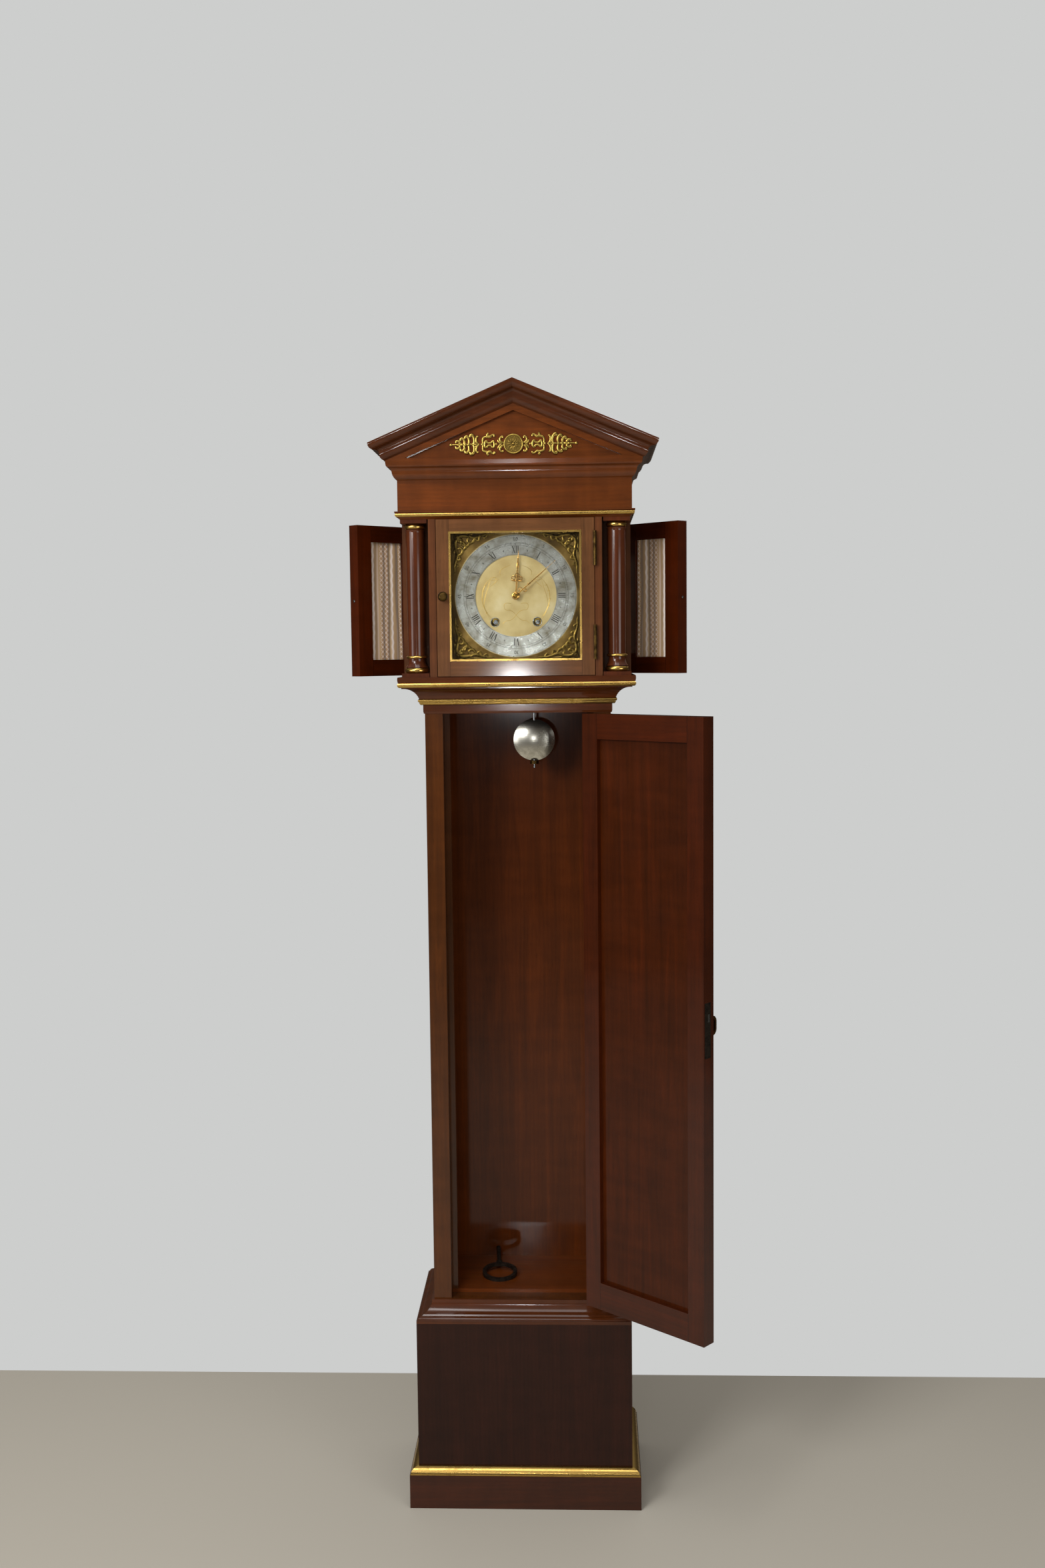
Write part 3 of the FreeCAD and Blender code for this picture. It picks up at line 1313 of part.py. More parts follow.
def build_train():
    plate_out = -d.plate_front
    for side, name, y_great, aim in ((1, "going", -d.great_y, (-d.winding_x, -winding_z)),
                                     (-1, "strike", -d.strike_great_y, (-strike_lead, strike_z - winding_z))):
        barrel = new_body(f"{name}_barrel")
        bore = d.winding_arbor_radius + d.barrel_fit
        if side > 0:
            drum = (y_great + d.great_thickness, -d.strike_great_y - 2 * d.drum_gap)
        else:
            drum = (-d.great_y + d.great_thickness + 2 * d.drum_gap, y_great)
        radius = d.drum_radius - d.drum_flange
        revolve(barrel, [(bore, drum[0]), (d.drum_radius, drum[0]), (d.drum_radius, drum[0] + d.drum_flange),
                         (radius, drum[0] + d.drum_flange), (radius, drum[1] - d.drum_flange),
                         (d.drum_radius, drum[1] - d.drum_flange), (d.drum_radius, drum[1]), (bore, drum[1])])
        toothed(barrel, y_great, d.great_thickness, "great_teeth", d.module_great, heading(*aim))
        hole = new_sketch(barrel, "XY_Plane", y_great + d.great_thickness + d.overrun)
        draw_circle(hole, 0, 0, bore)
        pocket(barrel, hole, d.great_thickness + 2 * d.overrun)
        node(f"{name}_barrel", at_arbor(barrel, side * d.winding_x, winding_z))
        front = -d.winding_arbor_front
        winding = turned(f"winding_arbor_{name}", [
            (0, front + d.winding_square_length), (d.winding_arbor_radius, front + d.winding_square_length),
            (d.winding_arbor_radius, back_plate_back + d.winding_shoulder),
            (0, back_plate_back + d.winding_shoulder)])
        square = new_sketch(winding, "XY_Plane", front)
        half = d.winding_square / 2
        draw(square, rectangle((-half, half), (-half, half)))
        pad(winding, square, d.winding_square_length)
        node(f"winding_arbor_{name}", at_arbor(winding, side * d.winding_x, winding_z))

    ends = (plate_out, back_plate_back)
    centre = arbor("centre_wheel", -d.minute_hand_y - d.winding_shoulder, ends[1], pivot_front=False)
    pinion_front = -d.great_y - d.pinion_overlap
    toothed(centre, pinion_front, d.great_thickness + 2 * d.pinion_overlap, "pinion_teeth", d.module_great,
            heading(d.winding_x, winding_z), True)
    rim = toothed(centre, -d.centre_wheel_y, d.wheel_thickness, "centre_teeth", d.module_centre,
                  heading(third_x, third_z))
    cross_out(centre, -d.centre_wheel_y, d.wheel_thickness, rim)
    node("centre_wheel", at_arbor(centre, 0, 0))

    third = arbor("third_wheel", *ends)
    toothed(third, -d.centre_wheel_y - d.pinion_overlap, d.wheel_thickness + 2 * d.pinion_overlap,
            "pinion_teeth", d.module_centre, heading(-third_x, -third_z), True)
    to_escape = heading(d.escape_x - third_x, d.escape_rise - third_z)
    rim = toothed(third, -d.third_wheel_y, d.wheel_thickness, "third_teeth", d.module_third, to_escape)
    cross_out(third, -d.third_wheel_y, d.wheel_thickness, rim)
    node("third_wheel", at_arbor(third, third_x, third_z))

    escape = arbor("escape_wheel", *ends)
    toothed(escape, -d.third_wheel_y - d.pinion_overlap, d.wheel_thickness + 2 * d.pinion_overlap,
            "pinion_teeth", d.module_third, to_escape + 180, True)
    disc = new_sketch(escape, "XY_Plane", -d.escape_wheel_y)
    root_radius = d.escape_radius - d.escape_tooth
    draw_circle(disc, 0, 0, root_radius)
    pad(escape, disc, d.wheel_thickness)
    tooth = new_sketch(escape, "XY_Plane", -d.escape_wheel_y)
    draw(tooth, [(root_radius - d.escape_tooth / 2, -(d.escape_tooth * 0.3)), (d.escape_radius, 0),
                 (root_radius - d.escape_tooth / 2, d.escape_tooth * 0.1)])
    repeat(escape, pad(escape, tooth, d.wheel_thickness), "escape_teeth")
    cross_out(escape, -d.escape_wheel_y, d.wheel_thickness, root_radius)
    node("escape_wheel", at_arbor(escape, d.escape_x, d.escape_rise))

    strike = arbor("strike_pin_wheel", *ends)
    toothed(strike, -d.strike_great_y - d.pinion_overlap, d.great_thickness + 2 * d.pinion_overlap,
            "pinion_teeth", d.module_great, heading(strike_lead, winding_z - strike_z), True)
    disc = new_sketch(strike, "XY_Plane", -d.strike_y)
    draw_circle(disc, 0, 0, d.strike_radius)
    pad(strike, disc, d.wheel_thickness)
    pin = new_sketch(strike, "XY_Plane", -d.strike_y - d.strike_pin_length)
    draw_circle(pin, d.strike_radius - 2 * d.strike_pin_radius, 0, d.strike_pin_radius)
    repeat(strike, pad(strike, pin, d.strike_pin_length), "strike_pins")
    node("strike_pin_wheel", at_arbor(strike, -d.strike_x, strike_z))


def build_motion_work():
    pinion_end = -d.minute_wheel_y + d.wheel_thickness + d.pinion_overlap
    bore = d.arbor_radius + d.cannon_fit
    cannon = turned("cannon_pinion", [
        (bore, -d.minute_hand_y + d.hand_thickness), (d.cannon_radius, -d.minute_hand_y + d.hand_thickness),
        (d.cannon_radius, pinion_end), (bore, pinion_end)])
    toothed(cannon, -d.minute_wheel_y - d.pinion_overlap, d.wheel_thickness + 2 * d.pinion_overlap,
            "cannon_teeth", d.module_motion, heading(stud_x, 0), True)
    bore_through(cannon, bore)
    node("cannon_pinion", at_arbor(cannon, 0, 0))

    minute = new_body("minute_wheel")
    rim = toothed(minute, -d.minute_wheel_y, d.wheel_thickness, "minute_teeth", d.module_motion,
                  heading(-stud_x, 0))
    cross_out(minute, -d.minute_wheel_y, d.wheel_thickness, rim)
    front = -d.hour_wheel_y - d.pinion_overlap
    pinion_width = -d.minute_wheel_y - front
    toothed(minute, front, pinion_width, "pinion_teeth", d.module_motion, heading(-stud_x, 0), True)
    bore_through(minute, d.stud_radius + d.pivot_fit)
    node("minute_wheel", at_arbor(minute, stud_x, 0))

    bore = d.cannon_radius + d.cannon_fit
    rear = -d.hour_wheel_y + d.wheel_thickness
    hour = turned("hour_wheel", [
        (bore, -d.hour_hand_y + d.hand_thickness), (d.hour_pipe_radius, -d.hour_hand_y + d.hand_thickness),
        (d.hour_pipe_radius, rear), (bore, rear)])
    rim = toothed(hour, -d.hour_wheel_y, d.wheel_thickness, "hour_teeth", d.module_motion, heading(stud_x, 0))
    cross_out(hour, -d.hour_wheel_y, d.wheel_thickness, rim)
    bore_through(hour, bore)
    node("hour_wheel", at_arbor(hour, 0, 0))


def bore_through(body, radius):
    """Bores a wheel on its own axis, from the back of the movement to the front of the hands."""
    sketch = new_sketch(body, "XY_Plane", back_plate_back)
    draw_circle(sketch, 0, 0, radius)
    pocket(body, sketch, back_plate_back + d.minute_hand_y + d.overrun)


def build_hands():
    hour_bore, minute_bore = d.cannon_radius + d.cannon_fit, d.arbor_radius + d.cannon_fit
    for name, y_front, length, bore, angle in (
            ("hour_hand", d.hour_hand_y, d.hour_hand_length, hour_bore, d.hour_hand_angle),
            ("minute_hand", d.minute_hand_y, d.minute_hand_length, minute_bore, d.minute_hand_angle)):
        hand = new_body(name)
        y_back = d.hand_thickness - y_front
        boss = new_sketch(hand, "XZ_Plane", -y_back)
        draw_circle(boss, 0, 0, d.hand_boss)
        pad(hand, boss, d.hand_thickness)
        blade = new_sketch(hand, "XZ_Plane", -y_back)
        half_share = [(1.0, 0.0), (0.35, 0.6), (1.3, 0.7), (0.35, 0.82), (0.12, 1.0)]
        half = [(d.hand_width * across, length * up if up else 0) for across, up in half_share]
        draw(blade, half + [(-across, up) for across, up in reversed(half)])
        pad(hand, blade, d.hand_thickness)
        hole = new_sketch(hand, "XZ_Plane", y_front)
        draw_circle(hole, 0, 0, bore)
        pocket(hand, hole, d.hand_thickness + d.overrun)
        hand.Placement = Placement(Vector(0, 0, 0), Rotation(Vector(0, 1, 0), angle.value))
        hand.setExpression("Placement.Base.z", d.arbor_z.text)
        node(name, hand)


def build_dial():
    rear = -d.dial_plate_front + d.dial_plate
    half, tall = d.dial_width / 2, d.dial_height / 2
    plate = new_body("dial_plate")
    sketch = new_sketch(plate, "XZ_Plane", -rear)
    draw(sketch, rectangle((-half, half), (d.dial_z - tall, d.dial_z + tall)))
    draw_circle(sketch, 0, d.arbor_z, d.hour_pipe_radius + d.running_gap)
    for side in (-1, 1):
        draw_circle(sketch, side * d.winding_x, d.arbor_z + winding_z, d.winding_hole_radius)
    pad(plate, sketch, d.dial_plate)
    node("dial_plate", plate)
    ring = new_body("chapter_ring")
    sketch = new_sketch(ring, "XZ_Plane", d.dial_plate_front)
    draw_circle(sketch, 0, d.arbor_z, d.chapter_outer)
    draw_circle(sketch, 0, d.arbor_z, d.chapter_inner)
    pad(ring, sketch, d.chapter_thickness)
    node("chapter_ring", ring)
    corners = []
    reach = d.chapter_outer + d.spandrel_gap
    edge = d.dial_width / 2 - d.spandrel_margin
    for up in (1, -1):
        spandrel = new_body("spandrel")
        sketch = new_sketch(spandrel, "XZ_Plane", d.dial_plate_front)
        foot = edge * 0.42
        low = root(reach * reach - foot * foot)
        centre = d.arbor_z
        points = [(foot, centre + low * up), (low, centre + foot * up, -reach if up > 0 else reach),
                  (edge, centre + edge * up * 0.62), (edge, centre + edge * up),
                  (edge * 0.62, centre + edge * up)]
        draw(sketch, points)
        pad(spandrel, sketch, d.spandrel_thickness)
        corners += [spandrel, mirrored(spandrel)]
    group("dial_spandrels", corners)


def build_movement_frame():
    x_range = (-d.plate_half_width, d.plate_half_width)
    z_range = (seat_top, seat_top + d.plate_height)
    free = d.pivot_radius + d.pivot_fit
    through = d.arbor_radius + d.pivot_fit
    winding = d.winding_arbor_radius + d.pivot_fit
    holes = [
        (0, 0, through, free), (third_x, third_z, free, free), (d.escape_x, d.escape_rise, free, free),
        (d.escape_x, d.pendulum_z - d.arbor_z, free, through), (-d.strike_x, strike_z, free, free),
        (-d.hammer_x, d.hammer_rise, free, free), (d.winding_x, winding_z, winding, winding),
        (-d.winding_x, winding_z, winding, winding),
    ]
    parts = []
    for number, y_back in enumerate((front_plate_back, back_plate_back)):
        plate = new_body("movement_plate")
        sketch = new_sketch(plate, "XZ_Plane", -y_back)
        draw(sketch, rectangle(x_range, z_range))
        for hole in holes:
            draw_circle(sketch, hole[0], d.arbor_z + hole[1], hole[2 + number])
        pad(plate, sketch, d.plate_thickness)
        parts.append(plate)
    for side in (-1, 1):
        for level in (z_range[0] + d.pillar_inset, z_range[1] - d.pillar_inset):
            parts.append(rod(d.pillar_radius, side * d.pillar_x, level, (front_plate_back, back_plate_front)))
        for rise in (-d.dial_foot_rise, d.dial_foot_rise):
            parts.append(rod(d.dial_foot_radius, side * d.dial_foot_x, d.arbor_z + rise,
                             (-d.dial_plate_front + d.dial_plate, -d.plate_front)))
    stud_front = -d.hour_wheel_y - 2 * d.pinion_overlap
    parts.append(rod(d.stud_radius, stud_x, d.arbor_z, (stud_front, -d.plate_front)))
    parts.append(build_cock())
    bridge_top = z_range[1] + d.bridge_height
    parts.append(box((-d.bell_x - d.bridge_width / 2, -d.bell_x + d.bridge_width / 2),
                     (-d.plate_front, back_plate_back), (z_range[1], bridge_top)))
    post = upright(d.bell_post_radius, bridge_top, d.bell_bottom + d.bell_height - d.bell_wall - d.bell_seat)
    parts.append(moved(post, -d.bell_x, -d.bell_y, bridge_top))
    group("movement_frame", parts)


def build_cock():
    """The bracket behind the movement that the pendulum's spring hangs in, with a slot for the spring."""
    x, y, top = d.escape_x, d.pendulum_y, d.pendulum_z
    low = top - d.cock_arm
    half = d.cock_width / 2 + d.crutch_width
    z_range = (low, top)
    bridge = box((x - half, x + half), (y - d.spring_width, y + d.spring_width), z_range)
    arms = [box((x + near, x + near + d.crutch_width), (back_plate_back, y), z_range)
            for near in (-half, half - d.crutch_width)]
    slot_half = d.spring_thickness / 2 + 2 * d.running_gap
    slot = box((x - slot_half, x + slot_half),
               (y - d.spring_width / 2 - d.running_gap, y + d.spring_width / 2 + d.running_gap),
               (low - d.overrun, top + d.overrun))
    return cut(fuse(bridge, *arms), slot)


def build_anchor():
    """Anchor, arbor and crutch in one: the pallets stand over the escape wheel, the crutch behind it all."""
    anchor = arbor("anchor", -d.plate_front, d.crutch_y + d.crutch_width / 2, pivot_back=False)
    sketch = new_sketch(anchor, "XY_Plane", -d.escape_wheel_y - d.pinion_overlap)
    reach = d.anchor_rise
    half_share = [(0.33, -0.08), (0.65, 0.25), (0.665, 0.467), (0.575, 0.467), (0.52, 0.27), (0.27, 0.1)]
    half = [(reach * across, reach * down) for across, down in half_share]
    outline = [(0, -(reach * 0.19))] + half + [(0, reach * 0.146)]
    outline += [(-across, down) for across, down in reversed(half)]
    draw(sketch, outline)
    pad(anchor, sketch, d.anchor_thickness)
    half = d.crutch_width / 2
    arm = new_sketch(anchor, "XY_Plane", d.crutch_y - half)
    draw(arm, rectangle((-half, half), (-half, d.crutch_length)))
    pad(anchor, arm, d.crutch_width)
    gap = d.rod_radius + d.crutch_fit
    for side in (-1, 1):
        inner, outer = side * gap, side * (gap + d.crutch_width / 2)
        prong = new_sketch(anchor, "XY_Plane", d.crutch_y - half)
        draw(prong, rectangle(sorted((inner, outer), key=lambda size: size.value),
                              (d.crutch_length - d.crutch_width, d.crutch_length)))
        pad(anchor, prong, d.crutch_fork + half)
    bar = new_sketch(anchor, "XY_Plane", d.crutch_y - half)
    draw(bar, rectangle((-gap - half, gap + half), (d.crutch_length - d.crutch_width, d.crutch_length)))
    pad(anchor, bar, d.crutch_width)
    turn_to_back(anchor, d.escape_x, 0, d.pendulum_z)
    node("anchor", anchor)


def build_pendulum():
    x, y = d.escape_x, d.pendulum_y
    top = d.pendulum_z
    bob_z = top - d.pendulum_length
    half = d.spring_width / 2
    strip = box((x - d.spring_thickness / 2, x + d.spring_thickness / 2), (y - half, y + half),
                (top - d.spring_length, top + d.spring_width))
    head = box((x - half, x + half), (y - half - d.overrun, y + half + d.overrun),
               (top + d.running_gap, top + d.spring_width))
    stem = moved(upright(d.rod_radius, bob_z - d.rod_bottom, top - d.spring_length + d.overrun), x, y,
                 bob_z - d.rod_bottom)
    node("pendulum_rod", fuse(strip, head, stem))
    edge, deep = d.bob_edge / 2, d.bob_thickness / 2
    rise = deep - edge
    bend = (d.bob_radius * d.bob_radius + rise * rise) / (2 * rise)
    lens = [(0, -deep), (d.bob_radius, -edge, bend), (d.bob_radius, edge), (0, deep, bend)]
    bob = turned("pendulum_bob", lens)
    hole = new_sketch(bob, "XZ_Plane", -d.bob_radius - d.overrun)
    draw_circle(hole, 0, 0, d.rod_radius + d.thread_fit)
    pocket(bob, hole, 2 * (d.bob_radius + d.overrun)).Reversed = True
    turn_to_back(bob, x, y, bob_z)
    node("pendulum_bob", bob)
    nut_top = -d.bob_radius - d.running_gap
    nut = turned("rating_nut", [
        (d.rod_radius + d.thread_fit, nut_top - d.nut_height), (d.nut_radius, nut_top - d.nut_height),
        (d.nut_radius, nut_top), (d.rod_radius + d.thread_fit, nut_top)])
    node("rating_nut", moved(nut, x, y, bob_z))


def build_bell_and_hammer():
    top, wall, radius = d.bell_bottom + d.bell_height, d.bell_wall, d.bell_radius
    bend = (radius * radius + d.bell_height * d.bell_height) / (2 * d.bell_height)
    inner_radius, inner_height = radius - wall, d.bell_height - wall
    inner_bend = (inner_radius * inner_radius + inner_height * inner_height) / (2 * inner_height)
    bell = turned("bell", [(inner_radius, 0, -inner_bend), (radius, 0), (0, d.bell_height, bend),
                           (0, inner_height)])
    node("bell", moved(bell, -d.bell_x, -d.bell_y, d.bell_bottom))
    hammer = arbor("hammer", -d.plate_front, back_plate_back)
    rim_x = d.hammer_x - d.bell_x - d.bell_radius - d.hammer_gap
    head_rise = d.bell_bottom - d.arbor_z - d.hammer_rise + d.hammer_head_radius
    arm = new_sketch(hammer, "XY_Plane", -d.hammer_y - d.hammer_arm / 2)
    half = d.hammer_arm / 2
    head_x = rim_x - d.hammer_head_length / 2
    draw(arm, [(-half, 0), (head_x - half, -head_rise), (head_x + half, -head_rise), (half, 0)])
    pad(hammer, arm, d.hammer_arm)
    tail = new_sketch(hammer, "XY_Plane", -d.hammer_y - d.hammer_arm / 2)
    draw(tail, [(-half, 0), (half, 0), (half, d.hammer_tail), (-half, d.hammer_tail)])
    pad(hammer, tail, d.hammer_arm)
    head = new_sketch(hammer, "YZ_Plane", rim_x - d.hammer_head_length)
    draw_circle(head, -head_rise, -d.hammer_y, d.hammer_head_radius)
    pad(hammer, head, d.hammer_head_length)
    node("hammer", at_arbor(hammer, -d.hammer_x, d.hammer_rise))


def build_winding_key():
    """The winding key: a round bow, a shank with a collar and a square socket, leaning on the backboard."""
    key = new_body("winding_key")
    ring = new_sketch(key, "XY_Plane", -(d.winding_bow_thickness / 2))
    draw_circle(ring, 0, 0, d.winding_bow_radius)
    draw_circle(ring, 0, 0, d.winding_bow_radius - d.winding_bow_wire)
    pad(key, ring, d.winding_bow_thickness)
    tip = d.winding_bow_radius + d.winding_shank
    shank = new_sketch(key, "XZ_Plane", -tip)
    draw_circle(shank, 0, 0, d.winding_shank_radius)
    pad(key, shank, d.winding_shank + d.winding_bow_wire / 2)
    collar = new_sketch(key, "XZ_Plane", -(d.winding_bow_radius + d.winding_collar))
    draw_circle(collar, 0, 0, d.winding_collar_radius)
    pad(key, collar, d.winding_collar + d.overrun)
    half = d.winding_socket_side / 2
    socket = new_sketch(key, "XZ_Plane", -tip)
    draw(socket, rectangle((-half, half), (-half, half)))
    pocket(key, socket, d.winding_socket_depth).Reversed = True
    lean, turn = math.radians(d.winding_key_lean.value), d.winding_key_turn.value
    reach = tip.value * math.cos(lean) + d.winding_shank_radius.value * math.sin(lean)
    y = backboard_front.value - d.winding_key_gap.value - reach
    z = (d.trunk_floor_top.value + d.winding_bow_radius.value * math.sin(lean)
         + d.winding_bow_thickness.value / 2 * math.cos(lean))
    key.Placement = Placement(Vector(-d.winding_key_x.value, y, z), Rotation(turn, 0, math.degrees(lean)))
    node("winding_key", key)


def build_seat():
    x, y = d.escape_x, d.pendulum_y
    seat = box((-trunk_half, trunk_half), (-d.seat_front, backboard_front), (d.seat_bottom, seat_top))
    slot = box((x - d.seat_slot_width / 2, x + d.seat_slot_width / 2),
               (y - d.seat_slot_depth / 2, y + d.seat_slot_depth / 2),
               (d.seat_bottom - d.overrun, seat_top + d.overrun))
    node("seat_board", cut(seat, slot))


def build_applique():
    """The applied ornament in the sunk triangle: a rosette between two scrolled sprays."""
    y_back = hood_front - d.cornice_overhang + d.recess_depth
    spray = new_body("spray")
    sketch = new_sketch(spray, "XZ_Plane", -y_back)
    reach, tall, z = d.applique_width / 2, d.applique_height, d.applique_z
    draw(sketch, [(0, z - tall * 0.3), (reach * 0.5, z - tall * 0.42, reach * 0.7),
                  (reach, z - tall * 0.1, -(reach * 0.55)), (reach * 0.86, z + tall * 0.12, reach * 0.12),
                  (reach * 0.45, z + tall * 0.05, reach * 0.5), (0, z + tall * 0.34, -(reach * 0.5))])
    pad(spray, sketch, d.applique_thickness)
    rosette = rod(d.rosette_radius, 0, z, (y_back - d.applique_thickness * 2, y_back))
    group("pediment_applique", [fuse(spray, mirrored(spray), rosette)])


def finish():
    """Checks every object and each node's shape, then writes the nodes' files."""
    doc.recompute()
    for item in doc.Objects:
        if "Invalid" in item.State or "Error" in item.State:
            raise RuntimeError(f"{item.Name} failed: {item.State}")
    os.makedirs("parts", exist_ok=True)
    for item in nodes:
        if item.Shape.isNull() or not item.Shape.isValid():
            raise RuntimeError(f"{item.Label} has no valid shape")
        item.Shape.exportStep(f"parts/{item.Label}.step")
    print(len(nodes), "nodes written")


fill_sheet()
build_base()
build_trunk()
build_neck(build_columns())
build_hood_frame()
build_entablature()
build_pediment()
build_applique()
case_leaves = build_dial_door() + build_side_doors() + build_trunk_door()
group("case_hinge_leaves", case_leaves)
build_train()
build_motion_work()
build_hands()
build_dial()
build_movement_frame()
build_anchor()
build_pendulum()
build_bell_and_hammer()
build_winding_key()
build_seat()
finish()
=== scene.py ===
import json
import math

import bpy
from mathutils import Matrix, Vector


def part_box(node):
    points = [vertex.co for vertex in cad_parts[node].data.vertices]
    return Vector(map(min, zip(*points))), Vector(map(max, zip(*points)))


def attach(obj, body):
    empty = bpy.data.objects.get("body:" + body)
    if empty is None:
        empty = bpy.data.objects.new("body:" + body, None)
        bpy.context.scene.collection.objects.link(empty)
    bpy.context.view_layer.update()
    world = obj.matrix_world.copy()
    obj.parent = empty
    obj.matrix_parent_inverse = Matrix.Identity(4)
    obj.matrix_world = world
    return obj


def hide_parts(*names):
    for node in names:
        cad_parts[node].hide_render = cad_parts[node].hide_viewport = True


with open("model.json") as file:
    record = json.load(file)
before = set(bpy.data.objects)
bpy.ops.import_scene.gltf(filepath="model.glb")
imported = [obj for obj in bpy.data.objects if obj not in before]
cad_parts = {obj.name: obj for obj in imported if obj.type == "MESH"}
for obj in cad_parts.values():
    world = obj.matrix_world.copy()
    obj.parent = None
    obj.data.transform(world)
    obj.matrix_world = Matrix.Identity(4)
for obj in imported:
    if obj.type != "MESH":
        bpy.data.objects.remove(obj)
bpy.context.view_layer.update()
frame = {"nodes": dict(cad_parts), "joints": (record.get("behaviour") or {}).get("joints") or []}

NODES = frame["nodes"]
JOINTS = {joint["name"]: joint for joint in frame["joints"]}
MM = 0.001

# Places in the shared frame, in metres
RING_LOW, RING_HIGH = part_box("chapter_ring")
RING_FRONT = RING_LOW.y
RING_RADIUS = (RING_HIGH.x - RING_LOW.x) / 2
ARBOR = Vector((0.0, 0.0, (RING_LOW.z + RING_HIGH.z) / 2))
DIAL_PLATE_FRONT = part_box("dial_plate")[0].y
WINDING_HOLES = [Vector((side * 0.0375, 0.0, 1.62999)) for side in (-1, 1)]

# The right side door and the trunk door stand open in the frame, and shut at the lower limit of their joints.
SIDE_DOOR_HINGE = Vector(JOINTS["side_door_right_swing"]["pos_m"])
SIDE_DOOR_ANGLE = -math.radians(JOINTS["side_door_right_swing"]["range_deg"][0])
TRUNK_DOOR_HINGE = Vector(JOINTS["trunk_door_swing"]["pos_m"])
TRUNK_DOOR_ANGLE = -math.radians(JOINTS["trunk_door_swing"]["range_deg"][0])

# Openings of the framed doors: from the hinge outwards on a side door, across the clock on the trunk door
SIDE_OPENING = (34 * MM, 106 * MM)
SIDE_OPENING_HEIGHTS = (1565 * MM, 1780 * MM)
TRUNK_OPENING = (-98.8 * MM, 99.5 * MM)
TRUNK_OPENING_HEIGHTS = (433.5 * MM, 1422.5 * MM)


def linear(hex_colour):
    """An sRGB hex colour as linear red, green, blue and alpha."""
    channels = [int(hex_colour[start:start + 2], 16) / 255 for start in (1, 3, 5)]
    return (*[c / 12.92 if c <= 0.04045 else ((c + 0.055) / 1.055) ** 2.4 for c in channels], 1.0)


def shaded(hex_colour, share):
    """A hex colour made darker or lighter by a share."""
    channels = [min(255, round(int(hex_colour[start:start + 2], 16) * share)) for start in (1, 3, 5)]
    return "#" + "".join(f"{channel:02x}" for channel in channels)


def add(tree, kind, inputs=None, stops=None, **settings):
    """Adds a shader node with its settings, its input values or links, and a colour ramp's stops."""
    node = tree.nodes.new("ShaderNode" + kind)
    for name, value in settings.items():
        setattr(node, name, value)
    for key, value in (inputs or {}).items():
        if isinstance(value, bpy.types.NodeSocket):
            tree.links.new(value, node.inputs[key])
        else:
            node.inputs[key].default_value = value
    if stops:
        elements = node.color_ramp.elements
        while len(elements) < len(stops):
            elements.new(0.5)
        for element, (position, colour) in zip(elements, stops):
            element.position = position
            element.color = linear(colour)
    return node


def new_material(name):
    """A material with its node tree and its shader."""
    material = bpy.data.materials.new(name)
    material.use_nodes = True
    tree = material.node_tree
    return material, tree, tree.nodes["Principled BSDF"]


# Mahogany under French polish: a red-brown open-grained wood, filled and rubbed with shellac, which gives
# it depth, dark short pores, a soft ribbon figure and a clear gloss that is a little uneven.
# Each pattern has its width across the grain, its length along it, and its noise. The pores are drawn
# wider than real ones, so that they show.
GRAIN_UP = (0.0, 0.0, 0.0)
GRAIN_ACROSS = (0.0, math.pi / 2, 0.0)
WOOD_PATTERNS = {
    "figure": (22 * MM, 300 * MM, {"Detail": 6.0, "Roughness": 0.58, "Distortion": 0.9}),
    "ribbons": (90 * MM, 28 * MM, {"Detail": 2.0}),
    "pores": (0.9 * MM, 16 * MM, {"Detail": 2.0, "Roughness": 0.6}),
    "wear": (50 * MM, 90 * MM, {"Detail": 5.0}),
    "orange_peel": (12 * MM, 30 * MM, {"Detail": 1.0}),
}
GROWTH_BAND = 7.5 * MM
GROWTH_STRETCH = 12.0
RAIL_JOINT = 0.35 * MM

# A wave texture of scale 1 repeats after this length.
WAVE_REPEAT = 0.314


